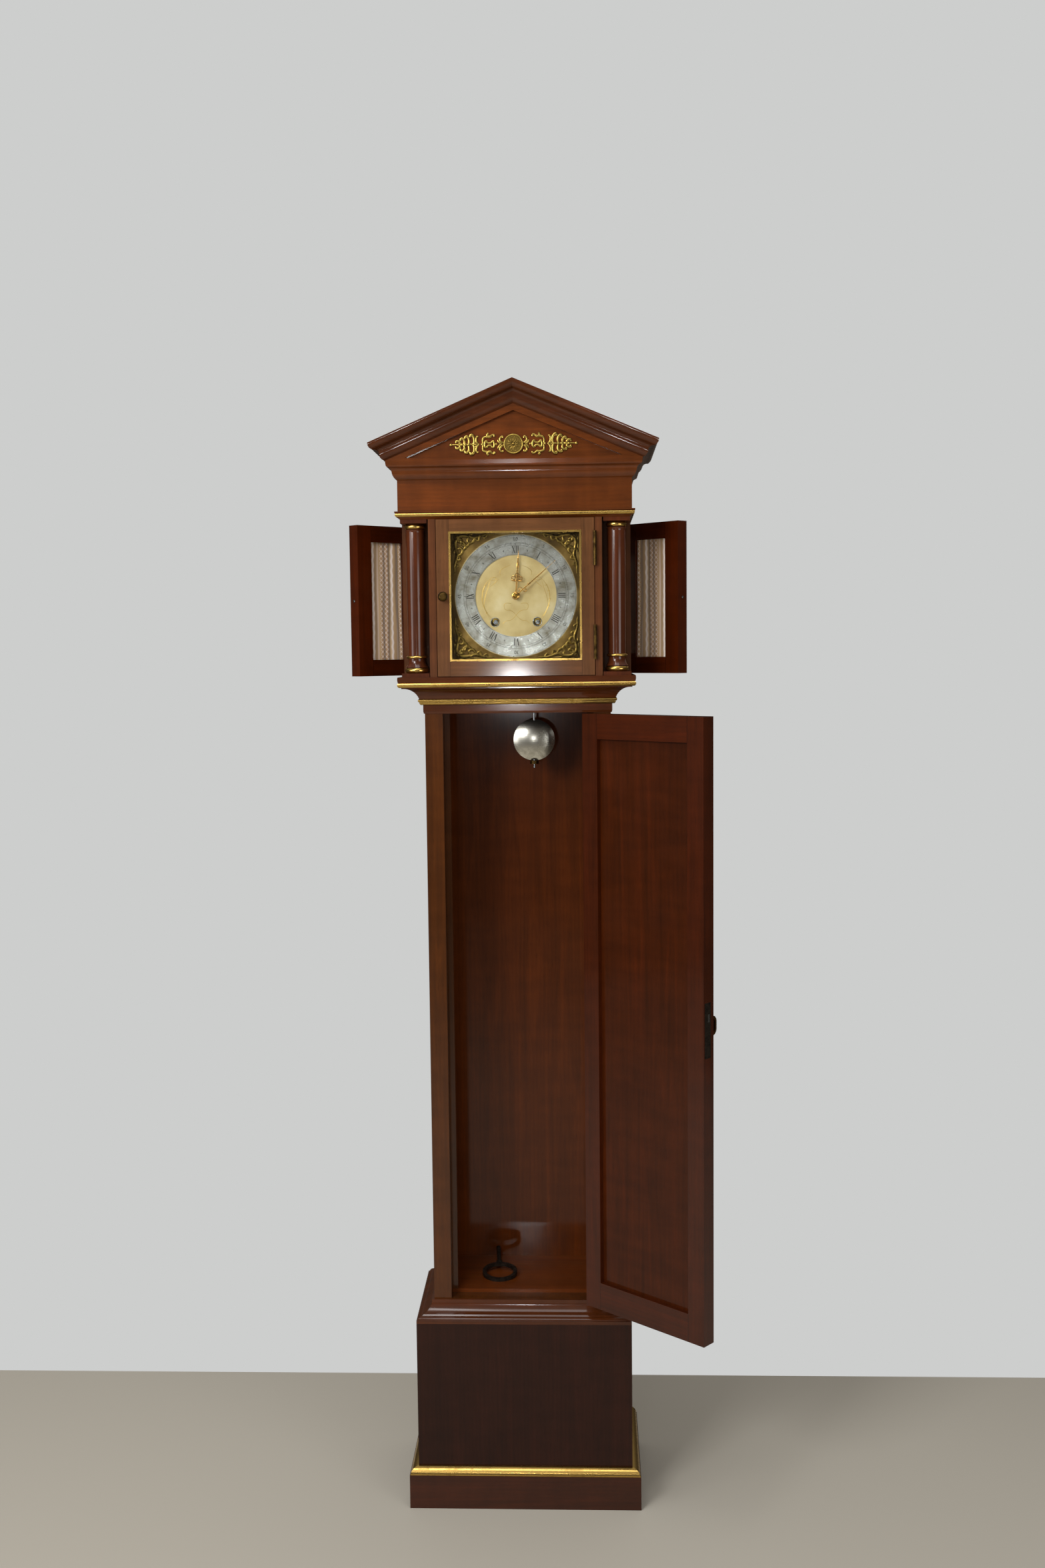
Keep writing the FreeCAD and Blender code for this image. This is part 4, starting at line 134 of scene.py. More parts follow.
def mahogany(name, tone, grain=GRAIN_UP, rails=None, ribbon=0.16, polish=0.7):
    """rails is (turn about Z, low x, high x, low z, high z) of a framed opening whose rails run across."""
    material, tree, shader = new_material(name)
    place = add(tree, "TexCoord").outputs["Object"]
    if rails:
        turn, low_x, high_x, low_z, high_z = rails
        middle_x, half_x = (low_x + high_x) / 2, (high_x - low_x) / 2
        middle_z, half_z = (low_z + high_z) / 2, (high_z - low_z) / 2
        place = add(tree, "Mapping", {"Vector": place, "Rotation": (0.0, 0.0, -turn)}).outputs[0]
        across = add(tree, "Mapping", {"Vector": place, "Rotation": GRAIN_ACROSS}).outputs[0]
        split = add(tree, "SeparateXYZ", {0: place})
        off_x = add(tree, "Math", {0: split.outputs[0], 1: middle_x}, operation="SUBTRACT").outputs[0]
        off_x = add(tree, "Math", {0: off_x}, operation="ABSOLUTE").outputs[0]
        off_z = add(tree, "Math", {0: split.outputs[2], 1: middle_z}, operation="SUBTRACT").outputs[0]
        off_z = add(tree, "Math", {0: off_z}, operation="ABSOLUTE").outputs[0]
        between = add(tree, "Math", {0: off_x, 1: half_x}, operation="LESS_THAN").outputs[0]
        beyond = add(tree, "Math", {0: off_z, 1: half_z}, operation="GREATER_THAN").outputs[0]
        on_rail = add(tree, "Math", {0: between, 1: beyond}, operation="MULTIPLY").outputs[0]
        near = add(tree, "Math", {0: off_x, 1: half_x, 2: RAIL_JOINT}, operation="COMPARE").outputs[0]
        joint_line = add(tree, "Math", {0: near, 1: beyond}, operation="MULTIPLY").outputs[0]
        place = add(tree, "Mix", {0: on_rail, 4: place, 5: across}, data_type="VECTOR").outputs[1]
    elif grain != GRAIN_UP:
        place = add(tree, "Mapping", {"Vector": place, "Rotation": grain}).outputs[0]
    drawn = {}
    for pattern, (width, length, noise) in WOOD_PATTERNS.items():
        scale = (1 / width, 1 / width, 1 / length)
        stretched = add(tree, "Mapping", {"Vector": place, "Scale": scale}).outputs[0]
        drawn[pattern] = add(tree, "TexNoise", {"Vector": stretched, "Scale": 1.0, **noise}).outputs[0]
    colour = add(tree, "ValToRGB", {0: drawn["figure"]}, stops=[
        (0.22, shaded(tone, 0.82)), (0.50, tone), (0.80, shaded(tone, 1.2))]).outputs[0]
    stretched = add(tree, "Mapping", {"Vector": place, "Scale": (1.0, 1.0, 1 / GROWTH_STRETCH)}).outputs[0]
    bands = add(tree, "TexWave", {"Vector": stretched, "Scale": WAVE_REPEAT / GROWTH_BAND, "Distortion": 5.0,
                                  "Detail": 3.0, "Detail Scale": 0.4}).outputs[1]
    growth = add(tree, "MapRange", {"Value": bands, "To Min": 0.95, "To Max": 1.03}).outputs[0]
    shimmer = add(tree, "MapRange", {"Value": drawn["ribbons"], "From Min": 0.35, "From Max": 0.65,
                                     "To Min": 1.0 - ribbon / 2, "To Max": 1.0 + ribbon / 2}).outputs[0]
    pore_shade = add(tree, "MapRange", {"Value": drawn["pores"], "From Min": 0.56, "From Max": 0.70,
                                        "To Min": 1.0, "To Max": 0.78}).outputs[0]
    shade = add(tree, "Math", {0: growth, 1: shimmer}, operation="MULTIPLY").outputs[0]
    shade = add(tree, "Math", {0: shade, 1: pore_shade}, operation="MULTIPLY").outputs[0]
    if rails:
        dark = add(tree, "MapRange", {"Value": joint_line, "To Min": 1.0, "To Max": 0.35}).outputs[0]
        shade = add(tree, "Math", {0: shade, 1: dark}, operation="MULTIPLY").outputs[0]
    colour = add(tree, "Mix", {0: 1.0, 6: colour, 7: shade}, data_type="RGBA", blend_type="MULTIPLY")
    tree.links.new(colour.outputs[2], shader.inputs["Base Color"])
    dulled = add(tree, "MapRange", {"Value": drawn["wear"], "From Min": 0.3, "From Max": 0.75,
                                    "To Min": 0.34, "To Max": 0.5})
    tree.links.new(dulled.outputs[0], shader.inputs["Roughness"])
    relief = add(tree, "Math", {0: drawn["orange_peel"], 1: 0.35, 2: pore_shade}, operation="MULTIPLY_ADD")
    bump = add(tree, "Bump", {"Strength": 0.22, "Distance": 0.4 * MM, "Height": relief.outputs[0]})
    tree.links.new(bump.outputs[0], shader.inputs["Normal"])
    shader.inputs["Coat Weight"].default_value = polish
    shader.inputs["Coat Roughness"].default_value = 0.1
    shader.inputs["Specular IOR Level"].default_value = 0.05
    return material


def metal(name, clean, stain, size, roughness=(0.22, 0.42), amount=(0.45, 0.75), relief=0.1, metallic=1.0,
          grounds=0.0):
    """A metal with stains of a size in metres, rougher where it is stained.

    grounds is how dark the hollows of a casting have gone, where no cloth reaches.
    """
    material, tree, shader = new_material(name)
    place = add(tree, "TexCoord").outputs["Object"]
    patches = add(tree, "TexNoise", {"Vector": place, "Scale": 1 / size, "Detail": 6.0, "Roughness": 0.62,
                                     "Distortion": 0.4}).outputs[0]
    stained = add(tree, "MapRange", {"Value": patches, "From Min": amount[0],
                                     "From Max": amount[1]}).outputs[0]
    if grounds:
        edges = add(tree, "NewGeometry").outputs["Pointiness"]
        hollow = add(tree, "MapRange", {"Value": edges, "From Min": 0.44, "From Max": 0.56,
                                        "To Min": grounds, "To Max": 0.0}).outputs[0]
        stained = add(tree, "Math", {0: stained, 1: hollow}, operation="MAXIMUM").outputs[0]
    colour = add(tree, "Mix", {0: stained, 6: linear(clean), 7: linear(stain)}, data_type="RGBA").outputs[2]
    tree.links.new(colour, shader.inputs["Base Color"])
    dulled = add(tree, "MapRange", {"Value": stained, "To Min": roughness[0], "To Max": roughness[1]})
    tree.links.new(dulled.outputs[0], shader.inputs["Roughness"])
    fine = add(tree, "TexNoise", {"Vector": place, "Scale": 6 / size, "Detail": 4.0}).outputs[0]
    bump = add(tree, "Bump", {"Strength": relief, "Distance": 0.3 * MM, "Height": fine})
    tree.links.new(bump.outputs[0], shader.inputs["Normal"])
    shader.inputs["Metallic"].default_value = metallic
    return material


# Gilding on wood: size and bronze powder, worn brown on the edges and in patches
GILDING = metal("gilding_worn", "#cba65a", "#7c5c28", 30 * MM, (0.24, 0.42), (0.5, 0.85), 0.06)
# Cast brass, gilt and aged: bright on its high places and dark brown in the grounds
CAST_BRASS = metal("cast_brass_aged", "#b0964a", "#33260f", 9 * MM, (0.28, 0.5), (0.5, 0.8), 0.2,
                   grounds=0.85)
# The same casting, darker all over: on the dial under the glass, and in the rosette's sunk dish
DARK_CAST_BRASS = metal("cast_brass_dark", "#957a3c", "#241b0b", 6 * MM, (0.28, 0.48), (0.42, 0.72), 0.2,
                        grounds=0.85)
# Rolled brass, rubbed with fine abrasive to an even soft shine
SHEET_BRASS = metal("sheet_brass_rubbed", "#c9a552", "#8b6f33", 30 * MM, (0.28, 0.42))
# Turned brass under old lacquer, which keeps it warm and bright
TURNED_BRASS = metal("turned_brass_lacquered", "#b9923f", "#6f5322", 12 * MM, (0.24, 0.45))
# Hinges and knob, brass gone brown under old lacquer
AGED_BRASS = metal("brass_brown", "#54401f", "#271b0e", 9 * MM, (0.32, 0.55), (0.42, 0.66), 0.15)
# Copper hands, fire gilt: reddish gold with few stains
HAND_GILDING = metal("hand_gilding", "#d9a95c", "#8a5f2c", 6 * MM, (0.2, 0.35), (0.55, 0.75), 0.08)
# Silvered brass, rubbed with silver salts, that has gone yellow-brown and blue-grey in clouds
SILVERING = metal("silvering_tarnished", "#c8c8c3", "#685d41", 26 * MM, (0.27, 0.33), (0.39, 0.76), 0.008,
                  0.88)
# Polished steel arbors, springs and side door fittings, bright and grey
STEEL = metal("steel_polished", "#9a9c9d", "#5f5a52", 10 * MM, (0.22, 0.4))
# Wrought iron, black-brown from handling
IRON = metal("wrought_iron_dark", "#3a322a", "#1d1713", 8 * MM, (0.42, 0.62), (0.4, 0.65), 0.4, 0.85)
# Cast bronze of the trunk key, worn brown
BRONZE = metal("bronze_key_worn", "#6a4c26", "#33220f", 6 * MM, (0.3, 0.55), (0.45, 0.65), 0.3)
# White metal of the pendulum's bob, turned and dulled
BOB_METAL = metal("bob_white_metal", "#c9c6ba", "#8b8472", 30 * MM, (0.24, 0.38), (0.5, 0.75), 0.06)


WAX_WEAR = 3.846 * MM


def engraver_black():
    """Engraver's wax in the cut numerals: nearly black, dull and a little worn."""
    material, tree, shader = new_material("engraver_wax_black")
    place = add(tree, "TexCoord").outputs["Object"]
    worn = add(tree, "TexNoise", {"Vector": place, "Scale": 1 / WAX_WEAR, "Detail": 4.0}).outputs[0]
    colour = add(tree, "ValToRGB", {0: worn}, stops=[(0.35, "#15130f"), (0.7, "#3d382c")]).outputs[0]
    tree.links.new(colour, shader.inputs["Base Color"])
    shader.inputs["Roughness"].default_value = 0.55
    return material


GLASS_WAVE = 71.4 * MM
GLASS_IOR = 1.5


def window_glass():
    """Old cylinder glass: clear, slightly green and not quite flat.

    Light passes it straight, so that the lamps reach the dial, and each face mirrors a little.
    """
    material, tree, shader = new_material("window_glass_old")
    tree.nodes.remove(shader)
    place = add(tree, "TexCoord").outputs["Object"]
    waves = add(tree, "TexNoise", {"Vector": place, "Scale": 1 / GLASS_WAVE, "Detail": 1.0}).outputs[0]
    bump = add(tree, "Bump", {"Strength": 0.04, "Distance": 0.6 * MM, "Height": waves}).outputs[0]
    clear = add(tree, "BsdfTransparent", {"Color": linear("#fafbfa")}).outputs[0]
    mirror = add(tree, "BsdfGlossy", {"Roughness": 0.02, "Normal": bump}).outputs[0]
    leaving = add(tree, "NewGeometry").outputs["Backfacing"]
    index = add(tree, "MapRange", {"Value": leaving, "To Min": GLASS_IOR, "To Max": 1 / GLASS_IOR})
    share = add(tree, "Fresnel", {"IOR": index.outputs[0]}).outputs[0]
    pane = add(tree, "MixShader", {0: share, 1: clear, 2: mirror}).outputs[0]
    tree.links.new(pane, tree.nodes["Material Output"].inputs["Surface"])
    return material


MATTING_CLOUD = 45.4545 * MM
MATTING_GRAIN = 0.7 * MM
CENTRE_EDGE = 2 * MM


def matted_centre():
    """The dial plate's brass: its centre matted with a punch to an even grain, its corners dark with age."""
    material, tree, shader = new_material("brass_matted")
    place = add(tree, "TexCoord").outputs["Object"]
    clouds = add(tree, "TexNoise", {"Vector": place, "Scale": 1 / MATTING_CLOUD, "Detail": 5.0}).outputs[0]
    matted = add(tree, "ValToRGB", {0: clouds}, stops=[
        (0.3, "#bfa46c"), (0.55, "#d8c28c"), (0.8, "#e8d9ae")]).outputs[0]
    aged = add(tree, "ValToRGB", {0: clouds}, stops=[
        (0.3, "#3d2e16"), (0.5, "#6e5426"), (0.7, "#a98a4c")]).outputs[0]
    middle = (ARBOR.x, DIAL_PLATE_FRONT, ARBOR.z)
    off_centre = add(tree, "VectorMath", {0: place, 1: middle}, operation="DISTANCE").outputs["Value"]
    corner = add(tree, "MapRange", {"Value": off_centre, "From Min": RING_RADIUS,
                                    "From Max": RING_RADIUS + CENTRE_EDGE}).outputs[0]
    colour = add(tree, "Mix", {0: corner, 6: matted, 7: aged}, data_type="RGBA").outputs[2]
    tree.links.new(colour, shader.inputs["Base Color"])
    grain = add(tree, "TexNoise", {"Vector": place, "Scale": 1 / MATTING_GRAIN, "Detail": 2.0}).outputs[0]
    bump = add(tree, "Bump", {"Strength": 0.3, "Distance": 0.2 * MM, "Height": grain})
    tree.links.new(bump.outputs[0], shader.inputs["Normal"])
    shader.inputs["Metallic"].default_value = 0.8
    shader.inputs["Roughness"].default_value = 0.4
    return material


# Striped silk satin: beige ground with scalloped pale stripes and bands of small woven lozenges.
# The pattern is drawn on the flat cloth, in metres, through the piece's UV map. The threads are drawn
# further apart than real ones, so that they show.
STRIPE_REPEAT = 44 * MM
LOZENGE = 8.8 * MM
THREAD = 0.5 * MM


def striped_satin():
    """The pale stripe and the lozenge band are each a middle and a half width, in shares of the repeat."""
    material, tree, shader = new_material("striped_satin")
    flat = add(tree, "UVMap", uv_map="flat_cloth").outputs[0]
    split = add(tree, "SeparateXYZ", {0: flat})
    along, up = split.outputs[0], split.outputs[1]
    turns = add(tree, "Math", {0: along, 1: 1 / STRIPE_REPEAT}, operation="MULTIPLY").outputs[0]
    within = add(tree, "Math", {0: turns}, operation="FRACT").outputs[0]
    ground = add(tree, "ValToRGB", {0: within}, stops=[
        (0.00, "#c9a87c"), (0.10, "#dfc09c"), (0.15, "#f2dccb"), (0.22, "#c8a47a"), (0.34, "#c19d73"),
        (0.40, "#e6ccb8"), (0.47, "#caaa82"), (0.55, "#b28d66"), (0.93, "#b69270")]).outputs[0]
    wave = add(tree, "Math", {0: up, 1: math.pi / LOZENGE}, operation="MULTIPLY").outputs[0]
    wave = add(tree, "Math", {0: wave}, operation="SINE").outputs[0]
    edge = add(tree, "Math", {0: wave, 1: 0.022}, operation="MULTIPLY").outputs[0]
    scallop = add(tree, "Math", {0: within, 1: edge}, operation="ADD").outputs[0]
    stripe = add(tree, "Math", {0: scallop, 1: 0.15, 2: 0.045}, operation="COMPARE").outputs[0]
    lines = []
    for slope in ("ADD", "SUBTRACT"):
        slanting = add(tree, "Math", {0: along, 1: up}, operation=slope).outputs[0]
        turn = add(tree, "Math", {0: slanting, 1: 1 / LOZENGE}, operation="MULTIPLY").outputs[0]
        part = add(tree, "Math", {0: turn, 1: 1.0, 2: 0.0}, operation="WRAP").outputs[0]
        off = add(tree, "Math", {0: part, 1: 0.5}, operation="SUBTRACT").outputs[0]
        off = add(tree, "Math", {0: off}, operation="ABSOLUTE").outputs[0]
        lines.append(add(tree, "MapRange", {"Value": off, "From Min": 0.08, "From Max": 0.2,
                                            "To Min": 1.0, "To Max": 0.0}).outputs[0])
    lattice = add(tree, "Math", {0: lines[0], 1: lines[1]}, operation="ADD").outputs[0]
    lattice = add(tree, "Math", {0: lattice, 1: 0.5}, operation="MULTIPLY").outputs[0]
    band = add(tree, "Math", {0: within, 1: 0.74, 2: 0.22}, operation="COMPARE").outputs[0]
    lattice = add(tree, "Math", {0: lattice, 1: band}, operation="MULTIPLY").outputs[0]
    pale = add(tree, "Math", {0: lattice, 1: stripe}, operation="MAXIMUM").outputs[0]
    pale = add(tree, "Math", {0: pale, 1: 0.72}, operation="MULTIPLY").outputs[0]
    colour = add(tree, "Mix", {0: pale, 6: ground, 7: linear("#fbeee6")}, data_type="RGBA").outputs[2]
    threads = add(tree, "TexWave", {"Vector": flat, "Scale": WAVE_REPEAT / THREAD, "Distortion": 0.4},
                  bands_direction="X").outputs[1]
    weave = add(tree, "MapRange", {"Value": threads, "To Min": 0.9, "To Max": 1.03}).outputs[0]
    colour = add(tree, "Mix", {0: 1.0, 6: colour, 7: weave}, data_type="RGBA", blend_type="MULTIPLY")
    tree.links.new(colour.outputs[2], shader.inputs["Base Color"])
    bump = add(tree, "Bump", {"Strength": 0.15, "Distance": 0.1 * MM, "Height": threads})
    tree.links.new(bump.outputs[0], shader.inputs["Normal"])
    shader.inputs["Roughness"].default_value = 0.42
    shader.inputs["Sheen Weight"].default_value = 0.4
    return material


def alone(piece):
    """Makes a piece the only one selected and the active one."""
    bpy.ops.object.select_all(action="DESELECT")
    piece.select_set(True)
    bpy.context.view_layer.objects.active = piece


def joined(name, pieces):
    """Joins pieces into one mesh with its place in it, under a new name."""
    bpy.ops.object.select_all(action="DESELECT")
    for piece in pieces:
        piece.select_set(True)
    bpy.context.view_layer.objects.active = pieces[0]
    if len(pieces) > 1:
        bpy.ops.object.join()
    bpy.ops.object.transform_apply(location=True, rotation=True, scale=True)
    pieces[0].name = name
    return pieces[0]


def finished(piece, body, material, stands_for=(), smooth=60.0):
    """Turns a piece's faces outwards, smooths its rounded places, and gives it its finish and its body."""
    alone(piece)
    bpy.ops.object.mode_set(mode="EDIT")
    bpy.ops.mesh.select_all(action="SELECT")
    bpy.ops.mesh.remove_doubles(threshold=0.001 * MM)
    bpy.ops.mesh.normals_make_consistent(inside=False)
    bpy.ops.object.mode_set(mode="OBJECT")
    bpy.ops.object.shade_smooth_by_angle(angle=math.radians(smooth))
    piece.data.materials.clear()
    piece.data.materials.append(material)
    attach(piece, body)
    if stands_for:
        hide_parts(*stands_for)


def stroke(points, radii, flatness=0.5):
    """A tapering rod through (across, up) points in millimetres, pressed flat from front to back."""
    curve = bpy.data.curves.new("stroke", "CURVE")
    curve.dimensions = "3D"
    curve.bevel_depth = MM
    curve.bevel_resolution = 3
    curve.use_fill_caps = True
    curve.resolution_u = 5
    spline = curve.splines.new("NURBS")
    spline.points.add(len(points) - 1)
    for knot, (across, up), radius in zip(spline.points, points, radii):
        knot.co = (across * MM, 0.0, up * MM, 1.0)
        knot.radius = radius
    spline.use_endpoint_u = True
    spline.order_u = 3
    holder = bpy.data.objects.new("stroke", curve)
    bpy.context.collection.objects.link(holder)
    bpy.context.view_layer.update()
    mesh = bpy.data.meshes.new_from_object(holder)
    bpy.data.objects.remove(holder)
    mesh.transform(Matrix.Scale(flatness, 4, (0, 1, 0)))
    piece = bpy.data.objects.new("stroke", mesh)
    bpy.context.collection.objects.link(piece)
    return piece


def ball(across, up, radius, flatness=0.6):
    """A bead at an (across, up) place in millimetres, pressed flat from front to back."""
    bpy.ops.mesh.primitive_uv_sphere_add(segments=16, ring_count=8, radius=radius * MM,
                                         location=(across * MM, 0, up * MM))
    bead = bpy.context.active_object
    bead.scale.y = flatness
    bpy.ops.object.transform_apply(location=True, rotation=True, scale=True)
    return bead


def upright_ring(radius, thickness, around, section):
    """A ring that faces the front, with its two radii in millimetres, made of so many steps each way."""
    bpy.ops.mesh.primitive_torus_add(major_radius=radius * MM, minor_radius=thickness * MM,
                                     major_segments=around, minor_segments=section,
                                     rotation=(math.pi / 2, 0, 0))
    return bpy.context.active_object


def upright_disc(radius, depth, steps):
    """A disc that faces the front, with its sizes in millimetres."""
    bpy.ops.mesh.primitive_cylinder_add(vertices=steps, radius=radius * MM, depth=depth * MM,
                                        rotation=(math.pi / 2, 0, 0))
    return bpy.context.active_object


def copied(piece, matrix):
    """A copy of a piece with its own mesh, moved by a matrix."""
    twin = piece.copy()
    twin.data = piece.data.copy()
    twin.data.transform(matrix)
    if matrix.determinant() < 0:
        twin.data.flip_normals()
    bpy.context.collection.objects.link(twin)
    return twin


MIRROR_ACROSS = Matrix.Scale(-1, 4, (1, 0, 0))
MIRROR_UP = Matrix.Scale(-1, 4, (0, 0, 1))
SWAP = Matrix(((0, 0, 1, 0), (0, 1, 0, 0), (1, 0, 0, 0), (0, 0, 0, 1)))


def spray():
    """The right-hand spray of the pediment's ornament, in millimetres from the rosette's centre."""
    parts = [ball(29.5, 0, 2.2), ball(54.5, 0, 2.4), ball(60.5, 0, 1.8), ball(109.0, 0, 2.6)]
    half = [
        stroke([(18, 2), (22, 4), (24, 9), (21, 13), (18, 13), (18.5, 10.5)],
               (1.6, 2.2, 1.9, 1.6, 1.6, 1.9)),
        stroke([(21, 0), (26, 3), (27, 7)], (1.6, 1.9, 1.0)),
        stroke([(33, 13), (33, 16.5), (37, 16), (40, 12.5), (45, 13), (46, 17), (43.5, 18.5)],
               (2.2, 1.9, 1.6, 2.4, 2.1, 1.9, 2.0)),
        stroke([(45, 13), (51, 13), (54, 8), (53, 2)], (1.8, 2.0, 1.7, 1.4)),
        stroke([(33, 0), (33.5, 5.5), (37.5, 5), (38, 2), (45, 2), (45.5, 5), (49.5, 5.5), (50, 0)],
               (2.0, 2.1, 1.7, 1.7, 1.7, 1.7, 2.1, 2.0)),
        stroke([(60, 0), (64, 3), (65, 10), (63, 14.5), (61.5, 13)], (1.2, 2.0, 1.9, 1.5, 1.8)),
        stroke([(64, 3), (69, 6), (70, 1)], (1.6, 1.8, 1.3)),
    ]
    for tip, height, fat in ((75, 16.5, 2.8), (84, 14.0, 2.7), (92, 10.5, 2.5), (100, 6.5, 2.2)):
        leaf = [(tip - 6, 1.5), (tip - 8, height * 0.55), (tip - 4, height), (tip, height),
                (tip, height - 3.4)]
        half.append(stroke(leaf, (1.7, 2.5, fat, fat, fat * 0.8)))
    parts.append(stroke([(64, 0), (80, 0.4), (96, 0.2), (109, 0)], (1.2, 1.7, 1.5, 1.0)))
    parts += [ball(across, 0, radius) for across, radius in ((78, 3.1), (84, 2.9), (90, 2.6), (96, 2.2))]
    return parts + half + [copied(part, MIRROR_UP) for part in half]


# The rosette, in millimetres
ROSETTE_RADIUS = 15.9
ROSETTE_RIM = 1.5
ROSETTE_PETALS = 12
BEAD_CIRCLE = 12.4


def rosette():
    """A sunk dish with petals round a centre boss and a circle of beads."""
    dish = upright_disc(ROSETTE_RADIUS, 1.2, 64)
    dish.location.y = 0.4 * MM
    parts = [dish]
    petal = stroke([(0, 3.2), (0, 6.5), (0, 10.4)], (0.8, 1.9, 0.5), 0.7)
    for number in range(ROSETTE_PETALS):
        parts.append(copied(petal, Matrix.Rotation(math.tau * number / ROSETTE_PETALS, 4, "Y")))
        angle = math.tau * (number + 0.5) / ROSETTE_PETALS
        parts.append(ball(BEAD_CIRCLE * math.sin(angle), BEAD_CIRCLE * math.cos(angle), 1.1, 0.9))
    bpy.data.objects.remove(petal)
    parts.append(ball(0, 0, 3.1, 0.9))
    return parts


APPLIQUE_STEP = 1.2 * MM


def build_applique():
    """The cast ornament on the pediment: two sprays and a bright ring, and the rosette inside the ring."""
    low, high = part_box("pediment_applique")
    half = spray()
    parts = half + [copied(part, MIRROR_ACROSS) for part in half]
    centre = Vector((0.0, high.y - APPLIQUE_STEP, (low.z + high.z) / 2))
    proud = Vector((0.0, -APPLIQUE_STEP, 0.0))
    ring = upright_ring(ROSETTE_RADIUS, ROSETTE_RIM, 64, 12)
    ring.location = proud
    piece = joined("pediment_ornament", parts + [ring])
    piece.data.transform(Matrix.Translation(centre))
    finished(piece, "case", CAST_BRASS, ["pediment_applique"])
    disc = joined("pediment_rosette", rosette())
    disc.data.transform(Matrix.Translation(centre + proud))
    finished(disc, "case", DARK_CAST_BRASS)


ASTRAGAL_HEIGHT = 1569.5 * MM
ASTRAGAL_RADIUS = 15.96 * MM
ASTRAGAL_THICKNESS = 2.66 * MM


def build_astragals():
    """The gilt ring at the foot of each column, which covers the wooden one of the turned shaft."""
    low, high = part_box("columns")
    block_half = (high.y - low.y) / 2
    rings = []
    for side in (-1, 1):
        place = (side * (high.x - block_half), (low.y + high.y) / 2, ASTRAGAL_HEIGHT)
        bpy.ops.mesh.primitive_torus_add(major_radius=ASTRAGAL_RADIUS, minor_radius=ASTRAGAL_THICKNESS,
                                         major_segments=64, minor_segments=16, location=place)
        rings.append(bpy.context.active_object)
    finished(joined("column_astragals", rings), "case", GILDING)


SPANDREL_STEP = 0.6 * MM


def build_spandrels():
    """Four cast corners of scrolls and leaves, each the mirror of its neighbours."""
    half = [
        stroke([(109, 52), (107, 62), (103, 70), (104, 80), (110, 82), (109, 76)],
               (1.6, 2.6, 3.2, 3.0, 2.3, 1.8)),
        stroke([(105, 82), (108, 92), (105, 101), (98, 102), (94, 96), (98, 92)],
               (3.2, 3.7, 3.8, 3.4, 2.9, 2.4)),
        stroke([(109, 38), (108, 44), (109, 54)], (0.8, 1.9, 1.8)),
        stroke([(103, 72), (96, 74), (93, 81), (98, 86), (103, 83)], (2.2, 2.8, 3.0, 2.6, 2.0)),
        stroke([(96, 80), (90, 83), (87, 89), (92, 95)], (2.4, 2.8, 3.0, 2.8)),
        stroke([(108.5, 64), (100, 63), (97, 67), (100, 70)], (2.0, 2.3, 2.1, 1.6)),
        stroke([(104, 100), (108.5, 104), (109.5, 109)], (3.2, 2.8, 1.4)),
        stroke([(110, 84), (111, 92), (110, 100)], (1.4, 1.9, 1.4)),
        stroke([(109, 50), (103, 52), (102, 56), (105, 58)], (1.4, 1.8, 1.6, 1.2)),
    ]
    corner = half + [copied(part, SWAP) for part in half]
    corner += [ball(95.5, 95.5, 4.2, 0.6), ball(88.5, 88.5, 2.2, 0.8), ball(104.5, 104.5, 2.6, 0.7)]
    one = joined("spandrel", corner)
    mirrors = (MIRROR_ACROSS, MIRROR_UP, MIRROR_ACROSS @ MIRROR_UP)
    piece = joined("dial_spandrels_cast", [one] + [copied(one, mirror) for mirror in mirrors])
    piece.data.transform(Matrix.Translation(ARBOR + Vector((0, DIAL_PLATE_FRONT - SPANDREL_STEP, 0))))
    finished(piece, "case", DARK_CAST_BRASS, ["dial_spandrels"])


# The chapter ring's marks: heights in millimetres from the ring's centre, and widths of strokes
NUMERALS = ("XII", "I", "II", "III", "IIII", "V", "VI", "VII", "VIII", "IX", "X", "XI")
NUMERAL_FOOT, NUMERAL_TOP = 75.2, 87.6
LETTER_WIDTHS = {"I": 3.3, "V": 6.2, "X": 6.2}
UPRIGHT_STROKE, THICK_STROKE, THIN_STROKE, SERIF_STROKE = 1.6, 1.7, 0.6, 0.45
UPRIGHT_SERIF, SLANT_SERIF = 1.5, 1.2
LETTER_MARGIN = 0.9
LOZENGE_FOOT, LOZENGE_TOP, LOZENGE_ARM = 79.6, 83.4, 1.3
LOZENGE_STROKE, ARM_STROKE = 0.7, 0.5
MINUTE_FOOT, MINUTE_TOP = 89.0, 92.4
MINUTE_STROKE, FIVE_MINUTE_STROKE = 0.28, 0.55
FIGURE_CENTRE, FIGURE_SIZE = 99.6, 8.6
CIRCLE_FLATNESS = 0.15
CIRCLES = ((73.2, 0.18), (MINUTE_FOOT, 0.2), (MINUTE_TOP, 0.2), (93.6, 0.12), (106.2, 0.16))
WAX_DEPTH = 0.06 * MM


def stripe(start, end, width):
    """A thin flat bar between two (across, up) points in millimetres, for a numeral or a mark."""
    across, up = end[0] - start[0], end[1] - start[1]
    bpy.ops.mesh.primitive_cube_add(size=1, rotation=(0, math.atan2(across, up), 0),
                                    location=((start[0] + end[0]) / 2 * MM, 0, (start[1] + end[1]) / 2 * MM))
    bar = bpy.context.active_object
    bar.scale = (width * MM, WAX_DEPTH, math.hypot(across, up) * MM)
    bpy.ops.object.transform_apply(location=True, rotation=True, scale=True)
    return bar


def serif(across, up, half):
    return stripe((across - half, up), (across + half, up), SERIF_STROKE)


